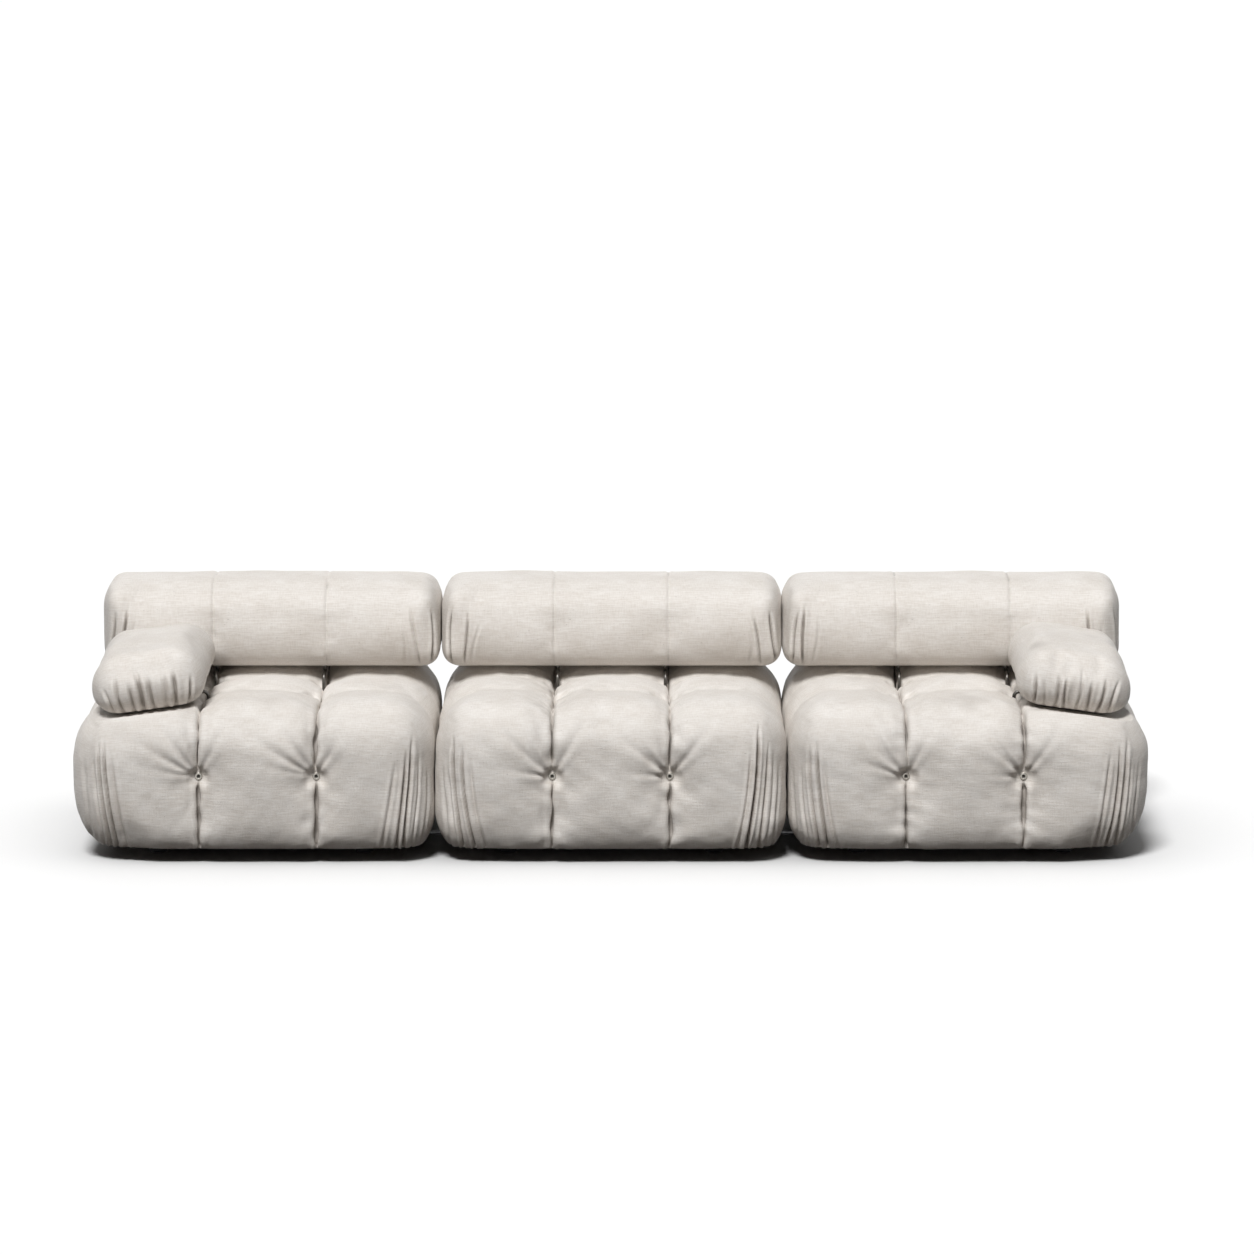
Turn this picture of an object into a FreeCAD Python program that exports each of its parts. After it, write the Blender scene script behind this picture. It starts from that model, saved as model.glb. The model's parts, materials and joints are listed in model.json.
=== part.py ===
# Three-seat modular sofa: three tufted seat modules that stand side by side on low feet,
# a bolster back on each, and an arm cushion on each of the two outer modules.
#
# Frame: millimetres, +Z up, -Y towards the person who looks at the front, origin on the
# floor under the middle of the sofa.
#
# How it comes apart: each back and arm cushion stands on cranked steel hooks that drop into
# sockets in the seat's tufts, so it lifts off. The outer modules pull away sideways from the
# link pins that the middle module carries under its base board.
import FreeCAD, Part

import math
import os
import re

import Sketcher
from FreeCAD import Placement, Rotation, Vector

# Driving dimensions: name, value, meaning.
SIZES = [
    ("module_pitch", 950, "distance between the centres of neighbouring modules"),
    ("neighbour_gap", 4, "free space between neighbouring cushions where they are widest"),
    ("free_side_swell", 28, "how much further a seat swells where no neighbour presses on it"),
    ("foot_height", 45, "floor to the underside of the dust cloth"),
    ("cloth_thickness", 1.2, "dust cloth under the base board"),
    ("board_thickness", 18, "plywood base board"),
    ("board_side", 740, "width of the base board"),
    ("board_setback", 110, "front or rear of the seat to the base board"),
    ("board_corner", 60, "corner radius of the base board"),
    ("lap_opening", 670, "width of the opening that the cover leaves under the board"),
    ("lap_setback", 145, "front or rear of the seat to that opening"),
    ("lap_drop", 5, "how far the cover hangs below the dust cloth"),
    ("seat_depth", 960, "front of the seat to its back, at the widest height"),
    ("seat_height", 428, "floor to the crowns of the seat"),
    ("face_draw_in", 70, "how far a face draws in at its lower edge"),
    ("shoulder_in", 62, "how far the shoulder stands back from the widest point"),
    ("shoulder_drop", 50, "height of the crown above the shoulder"),
    ("column_pitch", 316, "distance between the two channels that run front to back"),
    ("row_pitch", 316, "distance between the two channels that run side to side"),
    ("column_drop", 44, "depth of the front-to-back channels on top"),
    ("column_pinch", 30, "depth of the same channels on the front and rear faces"),
    ("row_drop", 28, "depth of the side-to-side channels on top"),
    ("channel_round", 90, "distance over which a column falls off into its channel"),
    ("side_face_in", 130, "how far the front and rear faces round in at the seat's sides"),
    ("side_face_round", 110, "distance over which they do"),
    ("pressed_top_in", 112, "how far the top rounds down at a side that meets a neighbour"),
    ("pressed_top_round", 150, "distance over which it does"),
    ("pressed_bottom_up", 80, "how far the bottom rounds up at a side that meets a neighbour"),
    ("pressed_bottom_round", 46, "distance over which it does"),
    ("free_top_in", 175, "how far the top rounds down at a free side"),
    ("free_top_round", 190, "distance over which it does"),
    ("free_bottom_up", 160, "how far the bottom rounds up at a free side"),
    ("free_bottom_round", 76, "distance over which it does"),
    ("side_groove_depth", 22, "depth of the upright channels on the seat's sides"),
    ("side_groove_width", 96, "width of the upright channels on the seat's sides"),
    ("foam_side", 770, "width of the seat foam"),
    ("foam_setback", 95, "front or rear of the seat to the foam"),
    ("foam_corner", 70, "upright corner radius of the seat foam"),
    ("top_padding", 98, "wadding between the top of the foam and the crowns"),
    ("fit_gap", 0.4, "gap between a foam block and the cover round it"),
    ("rest_gap", 0.5, "gap between a cushion and what it rests on"),
    ("foot_top_radius", 30, "foot where it meets the base"),
    ("foot_floor_radius", 24, "foot where it meets the floor"),
    ("foot_edge", 3, "bevel at the foot's floor edge"),
    ("foot_inset", 280, "foot axis from the module's centre line, both ways"),
    ("bolt_radius", 4, "foot bolt shank"),
    ("bolt_head_radius", 8, "foot bolt head"),
    ("bolt_head_height", 6, "foot bolt head"),
    ("bolt_sink", 12, "depth of the head's counterbore in the foot"),
    ("hole_gap", 0.3, "radial clearance round bolts, cords and plain shanks"),
    ("eyelet_radius", 10.5, "face eyelet flange"),
    ("eyelet_flange", 3.5, "face eyelet flange thickness"),
    ("eyelet_barrel_radius", 6.5, "face eyelet barrel"),
    ("eyelet_barrel", 9, "face eyelet barrel length"),
    ("eyelet_mouth_radius", 4.5, "face eyelet mouth, which hides the cord's knot"),
    ("eyelet_mouth_depth", 7.5, "face eyelet mouth depth"),
    ("eyelet_height", 238, "height of the front and rear eyelets"),
    ("side_eyelet_drop", 20, "how much lower the side eyelets sit, so that the cords pass"),
    ("pull_cord_radius", 2, "cord between two facing eyelets"),
    ("knot_radius", 4, "knot at the ends of that cord"),
    ("knot_length", 5, "knot at the ends of that cord"),
    ("socket_inset", 8, "socket axis from the channel line, towards the module's centre"),
    ("socket_radius", 16, "tuft socket flange"),
    ("socket_flange", 4, "tuft socket flange thickness"),
    ("socket_barrel_radius", 9, "tuft socket barrel"),
    ("socket_barrel", 40, "tuft socket barrel length under the flange"),
    ("socket_bore_radius", 5.6, "tuft socket bore"),
    ("socket_bore_depth", 36, "tuft socket bore, from the top of the flange"),
    ("tuft_cord_radius", 2.5, "cord that draws a tuft down to the board"),
    ("toggle_radius", 8, "toggle at the foot of that cord"),
    ("toggle_height", 6, "toggle at the foot of that cord"),
    ("bracket_length", 60, "link bracket along the pin"),
    ("bracket_width", 32, "link bracket across the pin"),
    ("bracket_edge", 2, "bevel on the link bracket"),
    ("bracket_reach", 325, "outer end of a link bracket from the module's centre"),
    ("bracket_spacing", 300, "distance between the two brackets of a side"),
    ("bracket_clear", 11, "floor to the underside of a link bracket"),
    ("pin_radius", 6, "link pin"),
    ("pin_height", 26, "floor to the axis of the link pins"),
    ("pin_gap", 0.25, "radial clearance of a link pin in its bracket"),
    ("pin_tip", 2, "bevel at the ends of a link pin"),
    ("back_depth", 320, "back cushion, front to rear"),
    ("back_height", 249, "back cushion, bottom to top"),
    ("back_front", 130, "front of the back cushion from the module's centre line"),
    ("back_low_round", 78, "lower edge radius of the back cushion"),
    ("back_high_round", 104, "upper edge radius of the back cushion"),
    ("back_side_belly", 4, "swell of the back cushion's front and rear"),
    ("back_top_belly", 7, "swell of the back cushion's top"),
    ("back_seam_draw", 3, "how far the two panel seams draw in"),
    ("back_end_round", 84, "length of the rounding at the back cushion's ends"),
    ("back_end_in", 108, "how far the back cushion rounds in at its ends"),
    ("back_seam_round", 40, "distance over which a panel falls off to its seam"),
    ("back_foam_length", 760, "foam inside the back cushion"),
    ("back_foam_depth", 200, "foam inside the back cushion"),
    ("back_foam_height", 150, "foam inside the back cushion"),
    ("back_foam_corner", 40, "corner radius of that foam"),
    ("slat_thickness", 12, "plywood slat under the foam of a back or an arm"),
    ("slat_lift", 16, "underside of a cushion to its slat"),
    ("arm_width", 298, "arm cushion across"),
    ("arm_height", 158, "arm cushion, bottom to top"),
    ("arm_front", 398, "front end of the arm from the module's centre line"),
    ("arm_back_gap", 3, "gap between an arm and the back cushion behind it"),
    ("arm_inset", 294, "arm's centre line from the module's centre"),
    ("arm_low_round", 60, "lower edge radius of the arm cushion"),
    ("arm_high_round", 70, "upper edge radius of the arm cushion"),
    ("arm_side_belly", 1.5, "swell of the arm cushion's two sides"),
    ("arm_top_belly", 6, "swell of the arm cushion's top"),
    ("arm_end_round", 80, "length of the rounding at the arm cushion's ends"),
    ("arm_end_in", 62, "how far the arm cushion rounds in at its ends"),
    ("arm_tilt", 6, "how far the arm leans outwards on the falling side of the seat, in degrees"),
    ("arm_foam_length", 350, "foam inside the arm cushion"),
    ("arm_foam_width", 180, "foam inside the arm cushion"),
    ("arm_foam_height", 90, "foam inside the arm cushion"),
    ("arm_foam_corner", 30, "corner radius of that foam"),
    ("hook_radius", 5, "rod of a cranked hook"),
    ("hook_bend", 14, "bend radius on the axis of that rod"),
    ("hook_sink", 16, "underside of the cushion to the axis of the hook's level run"),
    ("hook_reach", 26, "how deep a hook enters its socket"),
    ("arm_hook_run", 92, "reach of an arm's hook from its riser to its drop"),
    ("back_hook_run", 70, "reach of a back's hooks from riser to drop"),
]

# Names of the three modules, with their place in the row.
MODULES = {"left": -1, "middle": 0, "right": 1}
SIGNS = (-1, 1)
# Where a loft has its sections: shares of the rounding's length, counted from its very end.
END_STEPS = (0.0, 0.015, 0.07, 0.19, 0.38, 0.62, 1.0)
CHANNEL_STEPS = (0.0, 0.22, 0.58, 1.0)
# Every rounding is part of a superellipse with this exponent, a little squarer than an ellipse.
ROUND_POWER = 2.4
# Highest degree of a loft's surfaces: a higher one overshoots between the sections.
LOFT_DEGREE = 3
SHEET = "Sizes"
DERIVED = "arm_level"

doc = FreeCAD.newDocument("modular_sofa")
sheet = doc.addObject("Spreadsheet::Sheet", SHEET)
sub_parts = []


def fill_sheet():
    """Writes the driving dimensions, one to a row, with the name as the alias of its value."""
    for row, (name, value, meaning) in enumerate(SIZES, start=1):
        sheet.set(f"A{row}", name)
        sheet.set(f"B{row}", str(value))
        sheet.set(f"C{row}", meaning)
        sheet.setAlias(f"B{row}", name)
    doc.recompute()


def add_derived_row():
    """Adds the one size that follows from the seat's curves and not from a plain expression."""
    row = len(SIZES) + 1
    sheet.set(f"A{row}", DERIVED)
    sheet.set(f"B{row}", str(arm_level()))
    sheet.set(f"C{row}", "height of an arm's underside on its centre line, worked out")
    sheet.setAlias(f"B{row}", DERIVED)
    doc.recompute()


def size(name):
    """Value of one driving dimension, for shapes that are worked out in code."""
    return float(sheet.get(name))


def cell(text):
    """An expression in which every driving dimension's name stands for its cell."""
    known = {name for name, _, _ in SIZES} | {DERIVED}

    def named(match):
        word = match.group()
        return f"{SHEET}.{word}" if word in known else word

    return re.sub("[a-z_]+", named, text)


def bind(obj, **properties):
    """Binds properties to expressions; x, y and z stand for the placement's position."""
    for name, text in properties.items():
        path = f"Placement.Base.{name}" if name in ("x", "y", "z") else name
        obj.setExpression(path, cell(text))
    return obj


def sub_part(obj, label):
    """Marks an object as a piece of the sofa that gets a file of its own."""
    obj.Label = label
    sub_parts.append(obj)
    return obj


# Expressions that several pieces share.
COVER_BOTTOM = "foot_height - lap_drop"
BOARD_BOTTOM = "( foot_height + cloth_thickness )"
BOARD_TOP = "( foot_height + cloth_thickness + board_thickness )"
FOAM_TOP = "( seat_height - top_padding )"
SEAT_HALF = "( module_pitch / 2 - neighbour_gap / 2 )"
FACE_SEAT = "( seat_depth / 2 - column_pinch )"
FOAM_DEPTH = "( seat_depth - 2 * foam_setback )"
BOARD_DEPTH = "( seat_depth - 2 * board_setback )"
LAP_DEPTH = "( seat_depth - 2 * lap_setback )"
WALL = "( foam_setback + free_side_swell )"
SOCKET_SEAT = "( seat_height - column_drop - row_drop )"
SOCKET_X = "( column_pitch / 2 - socket_inset )"
SOCKET_Y = "( row_pitch / 2 - socket_inset )"
CUSHION_BOTTOM = "( seat_height + rest_gap )"
SLAT_BOTTOM = "( seat_height + rest_gap + slat_lift )"
SLAT_TOP = "( seat_height + rest_gap + slat_lift + slat_thickness )"
HOOK_TIP = "( seat_height - column_drop - row_drop + socket_flange - hook_reach )"
PIN_LENGTH = "( module_pitch - 2 * ( bracket_reach - bracket_length ) )"


def centre(module):
    """Expression for the module's centre line across the sofa."""
    return f"( {MODULES[module]} * module_pitch )"


def swell(module, sign):
    """Expression for the extra swell of one side: only the sofa's two outer ends have it."""
    return "free_side_swell" if MODULES[module] == sign else "0"


# Small builders for primitives, turned pieces and groups.


def box(name, length, width, height, x, y, z):
    """A block whose x and y give its centre and whose z gives its underside."""
    block = doc.addObject("Part::Box", name)
    bind(block, Length=length, Width=width, Height=height)
    return bind(block, x=f"{x} - ( {length} ) / 2", y=f"{y} - ( {width} ) / 2", z=z)


def rounded_box(name, corner, *place):
    """A block with round upright corners."""
    block = box(f"{name}_block", *place)
    doc.recompute()
    upright = []
    for index, edge in enumerate(block.Shape.Edges, start=1):
        if abs(edge.tangentAt(edge.FirstParameter).z) > 0.5:
            upright.append((index, size(corner), size(corner)))
    fillet = doc.addObject("Part::Fillet", name)
    fillet.Base = block
    fillet.Edges = upright
    return fillet


def rod(name, radius, length, axis, x, y, z):
    """A cylinder that starts at x, y, z and runs along +X, +Y or +Z."""
    turned = {
        "X": Rotation(Vector(0, 1, 0), 90),
        "Y": Rotation(Vector(1, 0, 0), -90),
        "Z": Rotation(),
    }
    cylinder = doc.addObject("Part::Cylinder", name)
    cylinder.Placement = Placement(Vector(), turned[axis])
    bind(cylinder, Radius=radius, Height=length)
    return bind(cylinder, x=x, y=y, z=z)


def turned_body(name, outline):
    """A body of revolution about Z; outline lists (radius, height) as expressions."""
    body = doc.addObject("PartDesign::Body", name)
    sketch = body.newObject("Sketcher::SketchObject", f"{name}_outline")
    plane = [feature for feature in body.Origin.OriginFeatures if feature.Role == "XZ_Plane"]
    sketch.AttachmentSupport = (plane[0], "")
    sketch.MapMode = "FlatFace"
    draw_polygon(sketch, outline)
    turn = body.newObject("PartDesign::Revolution", f"{name}_turn")
    turn.Profile = sketch
    turn.ReferenceAxis = (sketch, ["V_Axis"])
    turn.Angle = 360
    return body


def draw_polygon(sketch, outline):
    """Draws a closed outline in a sketch and binds every corner to its two expressions."""
    corners = [(worth(across), worth(up)) for across, up in outline]
    count = len(corners)
    for index, (across, up) in enumerate(corners):
        following = corners[(index + 1) % count]
        line = Part.LineSegment(Vector(across, up, 0), Vector(following[0], following[1], 0))
        sketch.addGeometry(line)
    for index in range(count):
        sketch.addConstraint(Sketcher.Constraint("Coincident", index, 2, (index + 1) % count, 1))
    for index, (across, up) in enumerate(outline):
        hold_corner(sketch, index, "DistanceX", -2, across)
        hold_corner(sketch, index, "DistanceY", -1, up)


def hold_corner(sketch, index, direction, axis, text):
    """Fixes one coordinate of a line's first point: on the axis, or at a bound distance from it."""
    if text == "0":
        sketch.addConstraint(Sketcher.Constraint("PointOnObject", index, 1, axis))
        return
    number = sketch.addConstraint(Sketcher.Constraint(direction, -1, 1, index, 1, worth(text)))
    sketch.setExpression(f"Constraints[{number}]", cell(text))


def worth(text):
    """Number that an expression stands for at the sheet's present values."""
    return float(sheet.evalExpression(cell(text)))


def copies(name, master, places):
    """A group of separate solids: one linked copy of the master at each (x, y, z, rotation)."""
    links = []
    for number, (x, y, z, rotation) in enumerate(places, start=1):
        link = doc.addObject("App::Link", f"{name}_{number}")
        link.LinkedObject = master
        link.Placement = Placement(Vector(), rotation)
        links.append(bind(link, x=x, y=y, z=z))
    return group(name, links)


def group(name, members):
    """A compound that keeps its members as separate solids."""
    compound = doc.addObject("Part::Compound", name)
    compound.Links = members
    return compound


def joined(name, members):
    """One object that fuses its members, used as a tool for a cut or as a piece."""
    fusion = doc.addObject("Part::MultiFuse", name)
    fusion.Shapes = members
    return fusion


def cut(name, base, tools):
    """The base less all the tools."""
    result = doc.addObject("Part::Cut", name)
    result.Base = base
    result.Tool = tools[0] if len(tools) == 1 else group(f"{name}_tools", tools)
    return result


def form(name, shape):
    """A soft form that is worked out in code from the sheet."""
    feature = doc.addObject("Part::Feature", name)
    feature.Shape = shape
    return feature


# Soft forms: lofts through sections of lines and arcs.


def arc_chain(points, place):
    """A closed wire: arcs through each (start, middle, end) and a straight closing line."""
    edges = []
    for start, middle, end in points:
        edges.append(Part.Arc(place(start), place(middle), place(end)).toShape())
    edges.append(Part.LineSegment(place(points[-1][2]), place(points[0][0])).toShape())
    return Part.Wire(edges)


def round_in(distance, length, depth):
    """How far a rounded end draws in at a distance from its very end."""
    if distance >= length:
        return 0.0
    share = 1 - distance / length
    return depth * (1 - (1 - share**ROUND_POWER) ** (1 / ROUND_POWER))


def summit(first, first_drop, second, second_drop):
    """Place of the highest point of an arc that passes two places at given drops below it."""
    span = second - first
    linear = 2 * span * first_drop
    constant = first_drop * (first_drop * second_drop - span**2 - second_drop**2)
    root = math.sqrt(linear**2 - 4 * (second_drop - first_drop) * constant)
    return first - 2 * constant / (linear + root)


def loft(sections):
    """A closed solid through the sections."""
    return Part.makeLoft(sections, True, False, False, LOFT_DEGREE)


def seat_section(x, face_in, top_in, bottom_up):
    """Side outline of the seat at one x: front face, three crowns, rear face and flat bottom.

    The section shrinks by the three insets, and its draw-in, shoulders and channels with it."""
    full = size("seat_height") - size("foot_height") + size("lap_drop")
    low = size("foot_height") - size("lap_drop") + bottom_up
    high = size("seat_height") - top_in
    share = (high - low) / full
    half = size("seat_depth") / 2 - face_in
    draw_in = size("face_draw_in") * share
    shoulder_in = size("shoulder_in") * share
    shoulder_drop = size("shoulder_drop") * share
    row_drop = size("row_drop") * share
    row = size("row_pitch") / 2
    hem = half - draw_in
    shoulder = half - shoulder_in
    widest = summit(low, draw_in, high - shoulder_drop, shoulder_in)
    crown = summit(row, row_drop, shoulder, shoulder_drop)
    arcs = [
        ((-hem, low), (-half, widest), (-shoulder, high - shoulder_drop)),
        ((-shoulder, high - shoulder_drop), (-crown, high), (-row, high - row_drop)),
        ((-row, high - row_drop), (0, high), (row, high - row_drop)),
        ((row, high - row_drop), (crown, high), (shoulder, high - shoulder_drop)),
        ((shoulder, high - shoulder_drop), (half, widest), (hem, low)),
    ]
    return arc_chain(arcs, lambda point: Vector(x, point[0], point[1]))


def side_kind(module, sign):
    """Whether one side of a module is free or pressed against a neighbour."""
    return "free" if MODULES[module] == sign else "pressed"


def side_drop(module, sign, distance):
    """How far the seat's top has rounded down at a distance from one of its sides."""
    kind = side_kind(module, sign)
    return round_in(distance, size(f"{kind}_top_round"), size(f"{kind}_top_in"))


def side_section(module, sign, distance):
    """Section of the seat at a distance from one of its two sides."""
    kind = side_kind(module, sign)
    edge = worth(SEAT_HALF) + worth(swell(module, sign))
    face_in = round_in(distance, size("side_face_round"), size("side_face_in"))
    bottom_up = round_in(distance, size(f"{kind}_bottom_round"), size(f"{kind}_bottom_up"))
    x = worth(centre(module)) + sign * (edge - distance)
    return seat_section(x, face_in, side_drop(module, sign, distance), bottom_up)


def channel_section(module, sign, distance):
    """Section of the seat at a distance from one of its two deep channels, out or in."""
    x = worth(centre(module)) + sign * (size("column_pitch") / 2) + distance
    pinch = round_in(abs(distance), size("channel_round"), size("column_pinch"))
    drop = round_in(abs(distance), size("channel_round"), size("column_drop"))
    return seat_section(x, pinch, drop, 0)


def seat_form(module):
    """Three upholstered columns, each a loft across the seat, joined at the two deep channels."""
    reach = [step * size("channel_round") for step in CHANNEL_STEPS]
    middle = [channel_section(module, -1, distance) for distance in reach]
    middle.append(seat_section(worth(centre(module)), 0, 0, 0))
    middle.extend(channel_section(module, 1, -distance) for distance in reversed(reach))
    columns = [loft(middle)]
    for sign in SIGNS:
        length = size(f"{side_kind(module, sign)}_top_round")
        sections = [side_section(module, sign, step * length) for step in END_STEPS]
        sections.extend(channel_section(module, sign, sign * distance) for distance in reversed(reach))
        columns.append(loft(sections))
    return columns[0].fuse(columns[1:])


def bolster_section(place, half_width, low, high, rounds, bellies):
    """Section of a bolster: flat bottom, round edges, and sides and top that swell a little."""
    low_round, high_round = rounds
    side_belly, top_belly = bellies
    slant = 1 - math.sqrt(0.5)
    side = half_width - side_belly
    top = high - top_belly
    bottom_end = (side - low_round, low)
    low_bend = (side - low_round * slant, low + low_round * slant)
    side_start = (side, low + low_round)
    side_end = (side, top - high_round)
    side_swell = (half_width, (side_start[1] + side_end[1]) / 2)
    high_bend = (side - high_round * slant, top - high_round * slant)
    top_start = (side - high_round, top)
    right = [
        (bottom_end, low_bend, side_start),
        (side_start, side_swell, side_end),
        (side_end, high_bend, top_start),
    ]
    crown = (top_start, (0, high), (high_round - side, top))
    left = []
    for start, middle, end in reversed(right):
        left.append(((-end[0], end[1]), (-middle[0], middle[1]), (-start[0], start[1])))
    return arc_chain(right + [crown] + left, place)


def bolster(name, place, low, half_width, inset):
    """Section of a back or arm cushion, drawn in all round by an inset."""
    height = size(f"{name}_height")
    shrink = 1 - inset / (height / 2)
    rounds = [shrink * size(f"{name}_{edge}_round") for edge in ("low", "high")]
    bellies = [shrink * size(f"{name}_{face}_belly") for face in ("side", "top")]
    return bolster_section(place, half_width - inset, low + inset, low + height - inset, rounds, bellies)


def back_form(module):
    """Back bolster: three panels that meet at two drawn-in seams, with rounded ends."""
    middle = worth(centre(module))
    centre_y = size("back_front") + size("back_depth") / 2
    seam = size("column_pitch") / 2
    half = worth(SEAT_HALF)

    def section(along, inset):
        def place(point):
            return Vector(middle + along, centre_y + point[0], point[1])

        return bolster("back", place, worth(CUSHION_BOTTOM), size("back_depth") / 2, inset)

    def seam_section(sign, distance):
        draw = round_in(abs(distance), size("back_seam_round"), size("back_seam_draw"))
        return section(sign * seam + distance, draw)

    reach = [step * size("back_seam_round") for step in CHANNEL_STEPS]
    sections = [seam_section(-1, distance) for distance in reach]
    sections.append(section(0, 0))
    sections.extend(seam_section(1, -distance) for distance in reversed(reach))
    panels = [loft(sections)]
    start = half - size("back_end_round")
    for sign in SIGNS:
        sections = end_sections("back", section, sign, half)
        sections.append(section(sign * (start + seam) / 2, 0))
        sections.extend(seam_section(sign, sign * distance) for distance in reversed(reach))
        panels.append(loft(sections))
    return panels[0].fuse(panels[1:])


def end_sections(name, section, sign, half):
    """Sections of a rounded end of a back or an arm, from the very end inwards."""
    length = size(f"{name}_end_round")
    sections = []
    for step in END_STEPS:
        distance = step * length
        inset = round_in(distance, length, size(f"{name}_end_in"))
        sections.append(section(sign * (half - distance), inset))
    return sections


def arm_centre(module):
    """Expression for the arm's centre line, over the outer column of an outer module."""
    return f"( {MODULES[module]} * ( module_pitch + arm_inset ) )"


ARM_Y = "( ( back_front - arm_back_gap - arm_front ) / 2 )"
ARM_LENGTH = "( back_front - arm_back_gap + arm_front )"


def arm_level():
    """Height of the arm's underside on its centre line, where it just rests on the seat.

    The leaning underside is lifted until no point of the outer column's crown is above it."""
    slope = math.tan(math.radians(size("arm_tilt")))
    edge = worth(SEAT_HALF) + size("free_side_swell")
    highest = 0.0
    for distance in range(round(edge - size("column_pitch") / 2)):
        crown = size("seat_height") - side_drop("right", 1, distance)
        highest = max(highest, crown + slope * (edge - distance - size("arm_inset")))
    return highest + size("rest_gap")


def arm_form(module):
    """Arm cushion: one loft from front to rear, with rounded ends, leaning outwards."""
    half = worth(ARM_LENGTH) / 2
    lean = arm_placement(module)

    def section(along, inset):
        def place(point):
            return lean.multVec(Vector(point[0], along, point[1]))

        return bolster("arm", place, 0, size("arm_width") / 2, inset)

    sections = end_sections("arm", section, -1, half)
    sections.append(section(-half / 3, 0))
    sections.append(section(half / 3, 0))
    sections.extend(reversed(end_sections("arm", section, 1, half)))
    return loft(sections)


def arm_placement(module):
    """Placement of the arm's own frame: origin under its middle, leaning about the Y axis."""
    base = Vector(worth(arm_centre(module)), worth(ARM_Y), worth("arm_level"))
    return Placement(base, Rotation(Vector(0, MODULES[module], 0), size("arm_tilt")))


# Turned masters that are copied to their places.


def make_masters():
    """One of each turned or drilled piece, at the origin; only copies of them are exported."""
    masters = {}
    masters["foot"] = turned_body(
        "foot_master",
        [
            ("bolt_radius + hole_gap", "bolt_sink"),
            ("bolt_head_radius + hole_gap", "bolt_sink"),
            ("bolt_head_radius + hole_gap", "0"),
            ("foot_floor_radius - foot_edge", "0"),
            ("foot_floor_radius", "foot_edge"),
            ("foot_top_radius", "foot_height"),
            ("bolt_radius + hole_gap", "foot_height"),
        ],
    )
    masters["bolt"] = turned_body(
        "bolt_master",
        [
            ("0", "bolt_sink - bolt_head_height"),
            ("bolt_head_radius", "bolt_sink - bolt_head_height"),
            ("bolt_head_radius", "bolt_sink"),
            ("bolt_radius", "bolt_sink"),
            ("bolt_radius", BOARD_TOP),
            ("0", BOARD_TOP),
        ],
    )
    masters["eyelet"] = turned_body(
        "eyelet_master",
        [
            ("pull_cord_radius + hole_gap", "0 - eyelet_barrel"),
            ("eyelet_barrel_radius", "0 - eyelet_barrel"),
            ("eyelet_barrel_radius", "0"),
            ("eyelet_radius", "0"),
            ("eyelet_radius", "eyelet_flange * 0.5"),
            ("eyelet_radius - eyelet_flange * 0.5", "eyelet_flange"),
            ("eyelet_mouth_radius + eyelet_flange * 0.3", "eyelet_flange"),
            ("eyelet_mouth_radius", "eyelet_flange * 0.7"),
            ("eyelet_mouth_radius", "eyelet_flange - eyelet_mouth_depth"),
            ("pull_cord_radius + hole_gap", "eyelet_flange - eyelet_mouth_depth"),
        ],
    )
    masters["socket"] = turned_body(
        "socket_master",
        [
            ("0", "0 - socket_barrel"),
            ("socket_barrel_radius", "0 - socket_barrel"),
            ("socket_barrel_radius", "0"),
            ("socket_radius", "0"),
            ("socket_radius", "socket_flange * 0.5"),
            ("socket_radius - socket_flange * 0.5", "socket_flange"),
            ("socket_bore_radius + socket_flange * 0.4", "socket_flange"),
            ("socket_bore_radius", "socket_flange * 0.6"),
            ("socket_bore_radius", "socket_flange - socket_bore_depth"),
            ("0", "socket_flange - socket_bore_depth"),
        ],
    )
    masters["tuft_cord"] = turned_body(
        "tuft_cord_master",
        [
            ("0", BOARD_BOTTOM),
            ("toggle_radius", BOARD_BOTTOM),
            ("toggle_radius", f"{BOARD_BOTTOM} + toggle_height"),
            ("tuft_cord_radius", f"{BOARD_BOTTOM} + toggle_height"),
            ("tuft_cord_radius", f"{SOCKET_SEAT} - socket_barrel"),
            ("0", f"{SOCKET_SEAT} - socket_barrel"),
        ],
    )
    masters["pin"] = turned_body(
        "pin_master",
        [
            ("0", "0"),
            ("pin_radius - pin_tip", "0"),
            ("pin_radius", "pin_tip"),
            ("pin_radius", f"{PIN_LENGTH} - pin_tip"),
            ("pin_radius - pin_tip", PIN_LENGTH),
            ("0", PIN_LENGTH),
        ],
    )
    masters["bracket"] = make_bracket()
    return masters


def make_bracket():
    """A drilled block under the base board that holds a link pin along X."""
    block = box(
        "bracket_block",
        "bracket_length",
        "bracket_width",
        "foot_height - bracket_clear",
        "0",
        "0",
        "bracket_clear",
    )
    doc.recompute()
    bevel = doc.addObject("Part::Chamfer", "bracket_bevel")
    bevel.Base = block
    along = []
    for index, edge in enumerate(block.Shape.Edges, start=1):
        is_low = abs(edge.CenterOfMass.z - size("bracket_clear")) < size("bracket_edge")
        if is_low:
            along.append((index, size("bracket_edge"), size("bracket_edge")))
    bevel.Edges = along
    bore = rod(
        "bracket_bore",
        "pin_radius + pin_gap",
        "2 * bracket_length",
        "X",
        "0 - bracket_length",
        "0",
        "pin_height",
    )
    return cut("bracket_master", bevel, [bore])


# Where the repeated pieces of a module stand.


def square_places(module, across, along, z):
    """Four places, mirrored about the module's two centre lines."""
    places = []
    for side in SIGNS:
        for end in SIGNS:
            x = f"{centre(module)} + {side} * {across}"
            places.append((x, f"{end} * {along}", z, Rotation()))
    return places


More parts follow.
